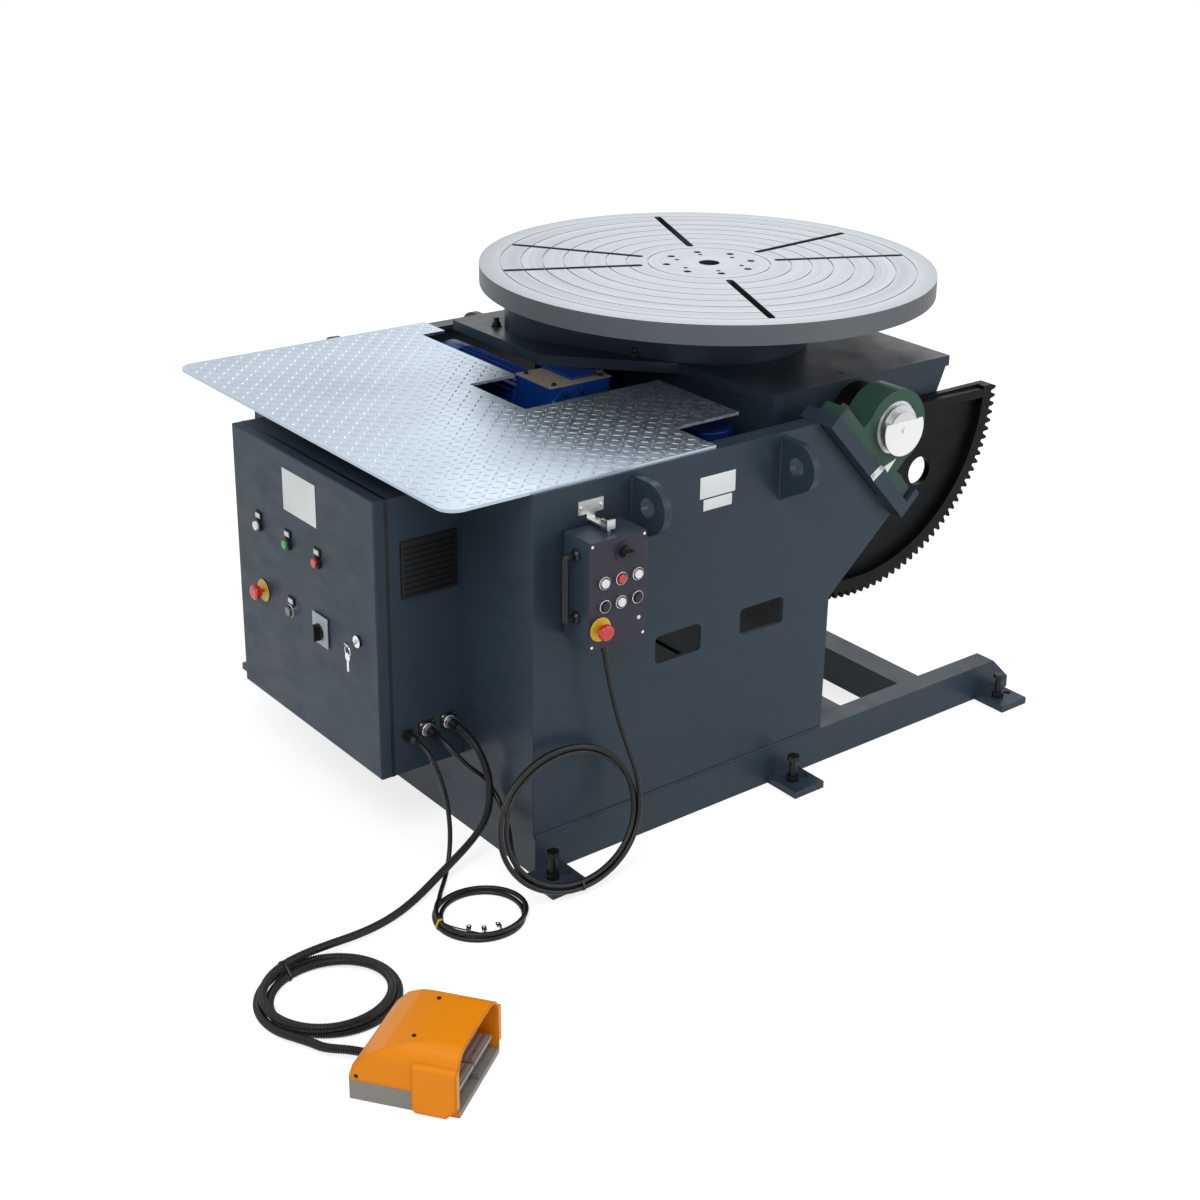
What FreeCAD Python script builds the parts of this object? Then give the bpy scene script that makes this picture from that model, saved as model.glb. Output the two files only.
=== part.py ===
"""Welding positioner: a floor-standing tilting and turning table for heavy weldments.

Frame: +Z up, +X towards the open front that the table tilts into, -Y the side that
carries the gear sector. The origin is the centre of the four corner anchor holes, at
floor level. All lengths are millimetres and all angles degrees.
"""
import FreeCAD, Part
import math
import os

V = FreeCAD.Vector
X_AXIS = V(1, 0, 0)
Y_AXIS = V(0, 1, 0)
Z_AXIS = V(0, 0, 1)

# ---------------------------------------------------------------- driving dimensions
# Floor fixing
ANCHOR_SPAN_X = 1626
ANCHOR_OUT = 56
MIDDLE_ANCHOR_X = -16
ANCHOR_HOLE_R = 11
ANCHOR_TO_FOOT_CENTRE = 30
LEVELLING_TO_FOOT_CENTRE = 12
LEVELLING_R = 10
LEVELLING_HEAD_Z = 95
FOOT_LENGTH = 104
FOOT_EDGE = 56
FOOT_THICK = 20
# Base beams and cross members
BEAM_REAR_X = -868
BEAM_FRONT_X = 875
BEAM_INSET = 15
BEAM_WIDTH = 66
BEAM_HEIGHT = 106
BEAM_BEVEL = 70
CROSS_MEMBERS = ((462, 86), (72, 160), (BEAM_REAR_X, 86))
# Body between the beams
PLATE_INSIDE_Y = 665
PLATE_THICK = 12
BODY_TOP_Z = 1008
SLOPE_FOOT = (322, 690)
SLOPE_ANGLE = 47.7
PLATE_KNEE = (102, 498)
PLATE_FRONT_X = 97
WALL_THICK = 10
FRONT_WALL_X = 80
FRONT_WALL_TOP_Z = 455
FLANGE_WIDTH = 40
WINDOW_Z = (470, 546)
WINDOWS_X = ((-497, -348), (-216, -64))
WINDOW_CORNER_R = 12
SHELF_Z = 550
SHELF_THICK = 12
SHELF_REAR_X = -560
SHELF_FRONT_X = -60
# Tilt axis, its bearings and the plates under them
AXIS_X = 296
AXIS_Z = 952
CENTRE_HEIGHT = 115
SUPPORT_THICK = 40
SUPPORT_MARGIN = 22
SUPPORT_INNER_EDGE = 15
SUPPORT_OUTER_EDGE = 13
STOP_LIP_HEIGHT = 45
STOP_LIP_THICK = 22
STOP_LIP_GAP = 0.5
HOUSING_INSET = 53
HOUSING_WIDTH = 93
HOUSING_BASE_LENGTH = 380
HOUSING_BOLT_SPACING = 308
HOUSING_FOOT_THICK = 38
HOUSING_OUTER_R = 106
HOUSING_BOLT_R = 12
SHAFT_R = 50
SHAFT_SHOULDER_R = 60
INNER_RING_R = 74
RUNNING_GAP = 0.05
SHAFT_IN_HEAD = 40
SHAFT_PROUD = 12
# Angle scale
DIAL_R = 72
DIAL_CHORD_RISE = 25
DIAL_THICK = 3
POINTER_WIDTH = 22
POINTER_THICK = 3
POINTER_FOOT = (-91, -113)
POINTER_TIP = (-28, -73)
# Sector gear and its pinion
SECTOR_MODULE = 8
SECTOR_TEETH = 130
SECTOR_SWEEP = 156
SECTOR_WIDTH = 45
SECTOR_WEB = 20
SECTOR_RIM = 34
SECTOR_RIB = 25
SECTOR_HUB_R = 88
SECTOR_HUB_WIDTH = 65
SECTOR_HOLE_R = 42.5
SECTOR_HOLES_AT = (-41, -78, -115)
SECTOR_HOLES_RADIUS = 337
TILT_PINION_TEETH = 18
TILT_PINION_AT = -148
TILT_PINION_SHAFT_R = 25
PRESSURE_ANGLE = 20
BACKLASH = 0.5
PINION_OVERHANG = 5
PINION_BOSS_R = 55
# Tilting head
HUB_GAP = 7
HEAD_REAR_X = -5
HEAD_FRONT_X = 666
HEAD_TOP_Z = 1050
HEAD_PLATE_THICK = 30
HEAD_BOTTOM_Z = 850
HEAD_FOOT_FRONT_X = 577
HEAD_WALL = 20
BAY_GAP = 12
HEAD_WING_REAR_X = -295
HEAD_WING = ((-291, 113), (-22, -167), (-15, -210))
# Table and slewing ring
TABLE_X = 219
TABLE_R = 650
TABLE_BOTTOM_Z = 1211
TABLE_THICK = 55
TABLE_BORE_R = 30
GROOVE_FIRST_R = 176
GROOVE_STEP = 59.4
GROOVE_COUNT = 8
GROOVE_WIDTH = 3
GROOVE_DEPTH = 2
SLOT_WIDTH = 22
SLOT_INNER_R = 195
SLOT_OUTER_R = 592
SLOT_ANGLES = (6, 66, 126, 156, 246, 336)
OUTER_HOLES = (125, 11, 8, 21)
INNER_HOLES = (95, 7, 6, 6)
SLEW_MODULE = 6
SLEW_TEETH = 84
SLEW_GEAR_WIDTH = 60
SLEW_INNER_R = 180
SLEW_JOURNAL_R = 215
SLEW_FLANGE_R = 238
SLEW_TOP_GAP = 11
SLEW_FACE_GAP = 0.3
SLEW_PINION_TEETH = 20
SLEW_PINION_X = 1
SLEW_SHAFT_R = 30
# Guard round the slewing drive
GUARD_R = 290
GUARD_BULGE = (-65, 312, 170)
GUARD_HEIGHT = 155
GUARD_WALL = 4
# Drives
TILT_BOX_X = (-306, -68)
TILT_BOX_BEHIND_GEAR = 35
TILT_BOX_WIDTH = 170
TILT_BOX_HEIGHT = 152
TILT_MOTOR_X = -128
TILT_MOTOR_R = 72
TILT_MOTOR_LENGTH = 251
SLEW_BOX_X = (-168, 92)
SLEW_BOX_Y = (110, 330)
SLEW_BOX_Z = (800, 905)
FIRST_STAGE_X = (-378, -168)
FIRST_STAGE_Y = (-60, 110)
FIRST_STAGE_Z = (840, 1010)
SLEW_MOTOR_X = -308
SLEW_MOTOR_Z = 925
SLEW_MOTOR_R = 70
SLEW_MOTOR_LENGTH = 430
MOTOR_FINS = 28
FIN_HEIGHT = 9
# Lifting lugs
LUGS_X = (-568, -86)
LUG_THICK = 22
LUG_OUT = 60
LUG_Z = 930
LUG_R = 66
LUG_HOLE_R = 26
LUG_ROOT_Z = 824
# Deck
DECK_THICK = 8
DECK_REAR_X = -1094
DECK_EDGE_INSET = 7
HEAD_SWING_GAP = 20
DECK_CORNER_R = 45
DECK_TONGUE_X = (-536, -388, -311, -94)
DECK_TONGUE_Y = (-505, -170, 90)
# Control cabinet
CABINET_FRONT_X = -1073
CABINET_Y = (-371, 332)
CABINET_Z = (213, 949)
CABINET_WALL = 3
DOOR_DEPTH = 36
DOOR_GAP = 0.5
HINGE_PIN_R = 3
HINGE_BARREL_R = 6
HINGE_OUT = 8
HINGE_LENGTH = 60
HINGES_Z = (300, 551, 802)
VENT_X = (-1039, -880)
VENT_Z = (683, 832)
VENT_OUT = 5
VENT_EDGE = 8
VENT_ROWS = 9
VENT_PITCH = 15
# Control gear in the cabinet; each device is width, height, depth, from the side, from the floor
GEAR_POST = 12
GEAR_PLATE = 3
GEAR_MARGIN = 40
GEAR_DEVICES = (
    (140, 200, 110, 30, 400), (140, 200, 110, 200, 400), (90, 130, 75, 390, 440),
    (45, 80, 85, 40, 250), (45, 80, 85, 95, 250), (45, 80, 85, 150, 250), (110, 100, 90, 340, 240),
    (480, 45, 45, 60, 90),
)
# Hand controls: (y, z) on the door, (x, z) on the pendant
BUTTON_STEM_R = 5
BEZEL_RIM = 9
DOOR_CAP_R = 12
DOOR_STROKE = 4
DOOR_BUTTONS = {
    "button_white": (205, 707),
    "button_green": (52, 705),
    "button_red": (-97, 705),
    "button_reset": (49, 521),
}
DOOR_ESTOP_AT = (198, 525)
ISOLATOR_AT = (-102, 519)
ISOLATOR_PLATE = 64
KEY_AT = (-281, 558)
ESTOP_DISC_R = 30
MUSHROOM_R = 20
PENDANT_X = (-789, -621)
PENDANT_OFF_WALL = 13
PENDANT_DEPTH = 100
PENDANT_Z = (632, 905)
PENDANT_PANEL_THICK = 4
PENDANT_CAP_R = 11
PENDANT_STROKE = 3
PENDANT_BUTTONS = (
    (-750, 801), (-701, 801), (-652, 801), (-748, 741), (-701, 741), (-652, 741),
)
PENDANT_KNOB_AT = (-688, 864)
PENDANT_ESTOP_AT = (-757, 683)
PENDANT_HANDLE_OUT = 40
PENDANT_HANDLE_R = 9
HANDLE_Z = (704, 862)
BRACKET_X = (-741, -667)
BRACKET_Z = (930, 964)
# Foot switch
PEDAL_AT = (-1488, -1168)
PEDAL_TURN = 35
PEDAL_WIDTH = 220
PEDAL_LENGTH = 240
PEDAL_FLOOR = 14
PEDAL_BLOCK_HEIGHT = 46
PEDAL_GUARD_HEIGHT = 150
PEDAL_GUARD_REAR = 56
PEDAL_ROOF_FRONT = 60
PEDAL_GUARD_WALL = 4
PEDAL_SIDE_WALL = 8
PEDAL_WING_LENGTH = 98
PEDAL_WING_OUT = 12
PEDAL_WING_LOW = 5
PEDAL_WING_HIGH = 118
PEDAL_WING_BEVEL = 24
PEDAL_PIN_R = 4
PEDAL_PIN_Y = 50
PEDAL_PIN_Z = 30
PEDAL_PLATE_THICK = 10
PEDAL_GAP = 6
PEDAL_GLAND_Z = 26
PEDAL_GLAND_R = 15
PEDAL_GLAND_OUT = 12
# Cables
PENDANT_CABLE_D = 13
CONDUIT_D = 20
POWER_CABLE_D = 12
SOCKET_1 = (-978, 316)
SOCKET_2 = (-915, 319)
POWER_GLAND = (-1032, 315)
SOCKET_R = 16
SOCKET_OUT = 8
PLUG_OUT = 29
GLAND_R = 12
GLAND_OUT = 29

# ---------------------------------------------------------------- derived places
PLATE_OUTSIDE_Y = PLATE_INSIDE_Y + PLATE_THICK
BEAM_Y = PLATE_INSIDE_Y - BEAM_INSET
ANCHOR_Y = BEAM_Y + BEAM_WIDTH / 2 + ANCHOR_OUT
ANCHORS_X = (-ANCHOR_SPAN_X / 2, MIDDLE_ANCHOR_X, ANCHOR_SPAN_X / 2)
HOUSING_INSIDE_Y = PLATE_INSIDE_Y - HOUSING_INSET
SUPPORT_INSIDE_Y = HOUSING_INSIDE_Y - SUPPORT_INNER_EDGE
SUPPORT_OUTSIDE_Y = HOUSING_INSIDE_Y + HOUSING_WIDTH + SUPPORT_OUTER_EDGE
HEAD_HALF_Y = HOUSING_INSIDE_Y - HUB_GAP - SECTOR_HUB_WIDTH
SHAFT_INSIDE_Y = HEAD_HALF_Y - SHAFT_IN_HEAD
SHAFT_END_Y = SUPPORT_OUTSIDE_Y + SHAFT_PROUD
TILT_BOX_FRONT_Y = HEAD_HALF_Y - PINION_OVERHANG - TILT_BOX_BEHIND_GEAR
TILT_BOX_Y = (-TILT_BOX_FRONT_Y, TILT_BOX_WIDTH - TILT_BOX_FRONT_Y)
DECK_HALF_Y = PLATE_OUTSIDE_Y - DECK_EDGE_INSET
PENDANT_Y = (-PLATE_OUTSIDE_Y - PENDANT_OFF_WALL - PENDANT_DEPTH, -PLATE_OUTSIDE_Y - PENDANT_OFF_WALL)
SLOPE = math.radians(SLOPE_ANGLE)
ALONG = V(math.cos(SLOPE), 0, -math.sin(SLOPE))
OUTWARD = V(math.sin(SLOPE), 0, math.cos(SLOPE))
AXIS = V(AXIS_X, 0, AXIS_Z)
SLOPE_MIDDLE = AXIS - OUTWARD * (CENTRE_HEIGHT + SUPPORT_THICK)
SECTOR_PITCH_R = SECTOR_MODULE * SECTOR_TEETH / 2
TILT_PINION_R = SECTOR_MODULE * TILT_PINION_TEETH / 2
TILT_CENTRES = SECTOR_PITCH_R + TILT_PINION_R
PINION_DIRECTION = math.radians(TILT_PINION_AT)
TILT_PINION_X = AXIS_X + TILT_CENTRES * math.cos(PINION_DIRECTION)
TILT_PINION_Z = AXIS_Z + TILT_CENTRES * math.sin(PINION_DIRECTION)
SHELF_TOP_Z = SHELF_Z + SHELF_THICK
HEAD_PLATE_BOTTOM_Z = HEAD_TOP_Z - HEAD_PLATE_THICK
TABLE_TOP_Z = TABLE_BOTTOM_Z + TABLE_THICK
SLEW_CENTRES = SLEW_MODULE * (SLEW_TEETH + SLEW_PINION_TEETH) / 2
SLEW_PINION_Y = math.sqrt(SLEW_CENTRES ** 2 - (TABLE_X - SLEW_PINION_X) ** 2)
SLEW_PINION_AT = math.degrees(math.atan2(SLEW_PINION_Y, SLEW_PINION_X - TABLE_X))
SLEW_GEAR_BOTTOM_Z = TABLE_BOTTOM_Z - SLEW_GEAR_WIDTH
DOOR_FACE_X = CABINET_FRONT_X - DOOR_DEPTH
PENDANT_FACE_Y = PENDANT_Y[0]


# ---------------------------------------------------------------- general shapes
def box(x, y, z):
    """A box from three (low, high) pairs."""
    return Part.makeBox(x[1] - x[0], y[1] - y[0], z[1] - z[0], V(x[0], y[0], z[0]))


def rod(start, radius, length, axis=Z_AXIS):
    return Part.makeCylinder(radius, length, start, axis)


def ring(start, outer, inner, length, axis=Z_AXIS):
    return rod(start, outer, length, axis).cut(rod(start, inner, length, axis))


def prism(corners, sweep):
    """A flat outline of vectors, swept by a vector."""
    return Part.Face(Part.makePolygon(corners + corners[:1])).extrude(sweep)


def side_prism(outline, y):
    """An outline of (x, z) points between two values of y."""
    return prism([V(px, y[0], pz) for px, pz in outline], Y_AXIS * (y[1] - y[0]))


def flat_prism(outline, z):
    """An outline of (x, y) points between two values of z."""
    return prism([V(px, py, z[0]) for px, py in outline], Z_AXIS * (z[1] - z[0]))


def mirrored(shape):
    """The same piece on the far side."""
    return shape.mirror(V(0, 0, 0), Y_AXIS)


def both_sides(shape):
    return Part.makeCompound([shape, mirrored(shape)])


def fused(first, *others):
    """One clean solid from pieces that touch."""
    solid = first.fuse(list(others)).removeSplitter()
    return solid.Solids[0] if len(solid.Solids) == 1 else solid


def round_upright(solid, radius, chosen):
    """Fillet the straight edges whose middle the test accepts."""
    edges = [edge for edge in solid.Edges if chosen(edge)]
    return solid.makeFillet(radius, edges)


def is_along(edge, axis):
    ends = edge.Vertexes
    if len(ends) != 2:
        return False
    run = ends[1].Point - ends[0].Point
    return run.Length > 0 and abs(abs(run.normalize().dot(axis)) - 1) < 1e-6


def rounded_box(x, y, z, radius, axis):
    """A box with its four edges along one axis rounded."""
    solid = box(x, y, z)
    return solid.makeFillet(radius, [edge for edge in solid.Edges if is_along(edge, axis)])


def seated(shape, origin, outward):
    """A shape drawn with +Z outward, set on a face that looks along outward."""
    placed = shape.copy()
    turn = FreeCAD.Placement(origin, FreeCAD.Rotation(Z_AXIS, outward))
    placed.Placement = turn.multiply(placed.Placement)
    return placed


# ---------------------------------------------------------------- gears
def flank_angle(radius, pitch_r, base_r, half_tooth):
    """Half the angle that a tooth spans at one radius of its involute."""
    pressure = math.radians(PRESSURE_ANGLE)
    here = math.acos(min(1.0, base_r / radius))
    involute = math.tan(here) - here
    return half_tooth + math.tan(pressure) - pressure - involute


def gear_outline(module, teeth, first_angle, count):
    """Polar points of involute teeth, from first_angle on; the first tooth is centred there."""
    pitch_r = module * teeth / 2
    base_r = pitch_r * math.cos(math.radians(PRESSURE_ANGLE))
    root_r = pitch_r - 1.25 * module
    tip_r = pitch_r + module
    half_tooth = (math.pi * module - BACKLASH) / (4 * pitch_r)
    start_r = max(root_r, base_r)
    radii = (start_r, (start_r + tip_r) / 2, tip_r)
    spread = [flank_angle(r, pitch_r, base_r, half_tooth) for r in radii]
    points = []
    for tooth in range(count):
        centre = math.radians(first_angle) + tooth * 2 * math.pi / teeth
        if root_r < start_r:
            points.append((root_r, centre - spread[0]))
        points += [(r, centre - a) for r, a in zip(radii, spread)]
        points += [(r, centre + a) for r, a in zip(reversed(radii), reversed(spread))]
        if root_r < start_r:
            points.append((root_r, centre + spread[0]))
    return points


def polar(points):
    return [V(r * math.cos(a), r * math.sin(a), 0) for r, a in points]


def full_gear(module, teeth, first_angle, width):
    return prism(polar(gear_outline(module, teeth, first_angle, teeth)), Z_AXIS * width)


def on_tilt_axis(shape, y):
    """A shape drawn about +Z, set about the tilt axis and running towards -Y from y."""
    return seated(shape, V(AXIS_X, y, AXIS_Z), -Y_AXIS)


# ---------------------------------------------------------------- frame and body
def base_frame():
    beam_y = (BEAM_Y - BEAM_WIDTH / 2, BEAM_Y + BEAM_WIDTH / 2)
    outline = (
        (BEAM_REAR_X, 0), (BEAM_FRONT_X, 0), (BEAM_FRONT_X, BEAM_HEIGHT - BEAM_BEVEL),
        (BEAM_FRONT_X - BEAM_BEVEL, BEAM_HEIGHT), (BEAM_REAR_X, BEAM_HEIGHT),
    )
    half = [side_prism(outline, beam_y)]
    foot_y = (beam_y[1], ANCHOR_Y + FOOT_EDGE)
    for anchor_x in ANCHORS_X:
        centre = anchor_x - ANCHOR_TO_FOOT_CENTRE
        foot = box((centre - FOOT_LENGTH / 2, centre + FOOT_LENGTH / 2), foot_y, (0, FOOT_THICK))
        foot = foot.cut(rod(V(anchor_x, ANCHOR_Y, 0), ANCHOR_HOLE_R, FOOT_THICK))
        levelling = V(centre - LEVELLING_TO_FOOT_CENTRE, ANCHOR_Y, 0)
        half.append(foot.cut(rod(levelling, LEVELLING_R + 1, FOOT_THICK)))
    pieces = half + [mirrored(piece) for piece in half]
    for start_x, length in CROSS_MEMBERS:
        pieces.append(box((start_x, start_x + length), (-beam_y[0], beam_y[0]), (0, BEAM_HEIGHT)))
    return fused(*pieces)


def hexagon(across, height, start, axis=Z_AXIS):
    corner_r = across / math.sqrt(3)
    corners = [V(corner_r * math.cos(k * math.pi / 3), corner_r * math.sin(k * math.pi / 3), 0)
               for k in range(6)]
    return seated(prism(corners, Z_AXIS * height), start, axis)


def hex_bolts():
    """Levelling screws with their nuts, and the bolts of the bearing housings."""
    bolts = []
    for anchor_x in ANCHORS_X:
        spot = V(anchor_x - ANCHOR_TO_FOOT_CENTRE - LEVELLING_TO_FOOT_CENTRE, ANCHOR_Y, 0)
        bolt = fused(
            rod(spot, LEVELLING_R, LEVELLING_HEAD_Z - 12),
            hexagon(3 * LEVELLING_R, 1.6 * LEVELLING_R, spot + Z_AXIS * FOOT_THICK),
            hexagon(3 * LEVELLING_R, 1.3 * LEVELLING_R, spot + Z_AXIS * (LEVELLING_HEAD_Z - 13)),
        )
        bolts += [bolt, mirrored(bolt)]
    for spot in housing_bolt_spots():
        top = spot + OUTWARD * HOUSING_FOOT_THICK
        bolt = fused(
            rod(spot - OUTWARD * SUPPORT_THICK, HOUSING_BOLT_R, SUPPORT_THICK + HOUSING_FOOT_THICK, OUTWARD),
            ring(top, 2 * HOUSING_BOLT_R, HOUSING_BOLT_R, 4, OUTWARD),
            hexagon(3 * HOUSING_BOLT_R, 1.4 * HOUSING_BOLT_R, top, OUTWARD),
        )
        bolts += [bolt, mirrored(bolt)]
    return Part.makeCompound(bolts)


def side_outline():
    """The (x, z) outline of a side plate: upright at the rear, sloping at the front."""
    rise = BODY_TOP_Z - SLOPE_FOOT[1]
    top_x = SLOPE_FOOT[0] - rise / math.tan(SLOPE)
    return [
        (BEAM_REAR_X, BEAM_HEIGHT), (BEAM_REAR_X, BODY_TOP_Z), (top_x, BODY_TOP_Z),
        SLOPE_FOOT, PLATE_KNEE, (PLATE_FRONT_X, BEAM_HEIGHT),
    ]


def side_plates():
    y = (PLATE_INSIDE_Y, PLATE_OUTSIDE_Y)
    outline = side_outline()
    plate = side_prism(outline, y)
    for window_x in WINDOWS_X:
        plate = plate.cut(rounded_box(window_x, y, WINDOW_Z, WINDOW_CORNER_R, Y_AXIS))
    flange = box(
        (BEAM_REAR_X + WALL_THICK, outline[2][0]), (PLATE_INSIDE_Y - FLANGE_WIDTH, PLATE_INSIDE_Y),
        (BODY_TOP_Z - PLATE_THICK, BODY_TOP_Z),
    )
    far = fused(plate, flange)
    near = mirrored(far)
    bore = V(TILT_PINION_X, -PLATE_OUTSIDE_Y, TILT_PINION_Z)
    boss = rod(bore, 1.9 * TILT_PINION_SHAFT_R, PLATE_THICK + 25, Y_AXIS)
    near = fused(near, boss)
    near = near.cut(rod(bore + Y_AXIS * 5, TILT_PINION_SHAFT_R + RUNNING_GAP, PLATE_THICK + 25, Y_AXIS))
    return Part.makeCompound([far, near])


def body_walls():
    """Rear wall, low front wall and the shelf that the tilt drive stands on."""
    y = (-PLATE_INSIDE_Y, PLATE_INSIDE_Y)
    rear = box((BEAM_REAR_X, BEAM_REAR_X + WALL_THICK), y, (BEAM_HEIGHT, BODY_TOP_Z))
    front = box((FRONT_WALL_X, FRONT_WALL_X + WALL_THICK), y, (BEAM_HEIGHT, FRONT_WALL_TOP_Z))
    z = (SHELF_Z, SHELF_TOP_Z)
    shelf = box((SHELF_REAR_X, SHELF_FRONT_X), y, z)
    pinion_bay = box((TILT_BOX_X[0] - 4, SHELF_FRONT_X), (-PLATE_INSIDE_Y, TILT_BOX_Y[0] - 10), z)
    return Part.makeCompound([rear, front, shelf.cut(pinion_bay)])


def on_slope(along, out, y):
    """A point by its distance along the slope from under the axis, and out from the slope."""
    return SLOPE_MIDDLE + ALONG * along + OUTWARD * out + Y_AXIS * y


def slope_prism(corners, y):
    """An outline of (along, out) points, between two values of y."""
    return prism([on_slope(a, o, y[0]) for a, o in corners], Y_AXIS * (y[1] - y[0]))


def housing_bolt_spots():
    """Where the housing bolts enter the bearing support, on the far side."""
    middle = HOUSING_INSIDE_Y + HOUSING_WIDTH / 2
    return [on_slope(side * HOUSING_BOLT_SPACING / 2, SUPPORT_THICK, middle) for side in (-1, 1)]


def support_plates():
    upper = -(HOUSING_BASE_LENGTH / 2 + SUPPORT_MARGIN)
    lip = HOUSING_BASE_LENGTH / 2 + STOP_LIP_GAP
    lower = lip + STOP_LIP_THICK
    corners = (
        (upper, 0), (upper, SUPPORT_THICK), (lip, SUPPORT_THICK),
        (lip, SUPPORT_THICK + STOP_LIP_HEIGHT), (lower, SUPPORT_THICK + STOP_LIP_HEIGHT), (lower, 0),
    )
    plate = slope_prism(corners, (SUPPORT_INSIDE_Y, SUPPORT_OUTSIDE_Y))
    for spot in housing_bolt_spots():
        hole = rod(spot - OUTWARD * SUPPORT_THICK, HOUSING_BOLT_R + 0.5, SUPPORT_THICK, OUTWARD)
        plate = plate.cut(hole)
    return both_sides(plate)


def lifting_lugs():
    """Plates that stand out from the side plates, rounded about the shackle hole."""
    eye = (PLATE_OUTSIDE_Y + LUG_OUT, LUG_Z)
    drop = LUG_Z - LUG_ROOT_Z
    reach = math.hypot(LUG_OUT, drop)
    bearing = math.atan2(-drop, -LUG_OUT) + math.acos(LUG_R / reach)
    tangent = (eye[0] + LUG_R * math.cos(bearing), eye[1] + LUG_R * math.sin(bearing))
    outline = (
        (PLATE_OUTSIDE_Y, LUG_Z + LUG_R), (eye[0], LUG_Z + LUG_R), eye, tangent,
        (PLATE_OUTSIDE_Y, LUG_ROOT_Z),
    )
    lugs = []
    for lug_x in LUGS_X:
        start_x = lug_x - LUG_THICK / 2
        web = prism([V(start_x, py, pz) for py, pz in outline], X_AXIS * LUG_THICK)
        centre = V(start_x, eye[0], eye[1])
        disc = rod(centre, LUG_R, LUG_THICK, X_AXIS).common(
            box((start_x, start_x + LUG_THICK), (PLATE_OUTSIDE_Y, eye[0] + LUG_R), (0, 2 * LUG_Z)))
        lug = fused(web, disc)
        lug = lug.cut(rod(centre, LUG_HOLE_R, LUG_THICK, X_AXIS))
        lugs += [lug, mirrored(lug)]
    return Part.makeCompound(lugs)


def deck_plate():
    rear, inner, outer, front = DECK_TONGUE_X
    near, low, high = DECK_TONGUE_Y
    clear_y = HEAD_HALF_Y + HEAD_SWING_GAP
    corners = [
        (DECK_REAR_X, -DECK_HALF_Y), (DECK_REAR_X, DECK_HALF_Y), (outer, DECK_HALF_Y),
        (outer, clear_y), (inner, clear_y), (inner, high), (rear, high),
        (rear, low), (front, low), (front, near), (outer, near), (outer, -DECK_HALF_Y),
    ]
    deck = flat_prism(corners, (BODY_TOP_Z, BODY_TOP_Z + DECK_THICK))

    def rear_corner(edge):
        return is_along(edge, Z_AXIS) and abs(edge.CenterOfMass.x - DECK_REAR_X) < 1

    return round_upright(deck, DECK_CORNER_R, rear_corner)


# ---------------------------------------------------------------- tilt axis pieces
def bearing_housings():
    y = (HOUSING_INSIDE_Y, HOUSING_INSIDE_Y + HOUSING_WIDTH)
    half = HOUSING_BASE_LENGTH / 2
    foot_top = SUPPORT_THICK + HOUSING_FOOT_THICK
    shoulder = HOUSING_OUTER_R - 6
    foot_corners = ((-half, SUPPORT_THICK), (half, SUPPORT_THICK), (half, foot_top), (-half, foot_top))
    base = slope_prism(foot_corners, y)
    base = base.makeFillet(12, [edge for edge in base.Edges if is_along(edge, OUTWARD)])
    rise = SUPPORT_THICK + CENTRE_HEIGHT
    cheeks = slope_prism(
        ((-shoulder, SUPPORT_THICK), (shoulder, SUPPORT_THICK), (shoulder, rise), (-shoulder, rise)), y)
    barrel = rod(V(AXIS_X, y[0], AXIS_Z), HOUSING_OUTER_R, HOUSING_WIDTH, Y_AXIS)
    housing = fused(base, cheeks, barrel)
    housing = housing.cut(rod(V(AXIS_X, y[0], AXIS_Z), INNER_RING_R + RUNNING_GAP, HOUSING_WIDTH, Y_AXIS))
    for spot in housing_bolt_spots():
        housing = housing.cut(rod(spot, HOUSING_BOLT_R + 0.5, HOUSING_FOOT_THICK, OUTWARD))
    return both_sides(housing)


def bearing_inner_rings():
    start = V(AXIS_X, HOUSING_INSIDE_Y + 4, AXIS_Z)
    race = ring(start, INNER_RING_R, SHAFT_R, HOUSING_WIDTH - 8, Y_AXIS)
    collar_y = V(AXIS_X, HOUSING_INSIDE_Y + HOUSING_WIDTH - 4, AXIS_Z)
    collar = ring(collar_y, SHAFT_SHOULDER_R + 5, SHAFT_R, 14, Y_AXIS)
    return both_sides(fused(race, collar))


def trunnion_shafts():
    """Shafts welded through the head's side walls, with a shoulder on the far one."""
    length = SHAFT_END_Y - SHAFT_INSIDE_Y
    shaft = rod(V(AXIS_X, SHAFT_INSIDE_Y, AXIS_Z), SHAFT_R, length, Y_AXIS)
    shoulder = rod(V(AXIS_X, HEAD_HALF_Y, AXIS_Z), SHAFT_SHOULDER_R,
                   HOUSING_INSIDE_Y - 6 - HEAD_HALF_Y, Y_AXIS)
    return Part.makeCompound([fused(shaft, shoulder), mirrored(shaft)])


def angle_dial():
    """The degree scale: a disc cut by a chord above the shaft's centre."""
    disc = rod(V(0, 0, 0), DIAL_R, DIAL_THICK)
    above = box((-DIAL_R, DIAL_R), (DIAL_CHORD_RISE, DIAL_R + 1), (-1, DIAL_THICK + 1))
    screw = rod(V(0, 0, DIAL_THICK), 8, 5)
    return on_tilt_axis(fused(disc.cut(above), screw), -SHAFT_END_Y)


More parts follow.
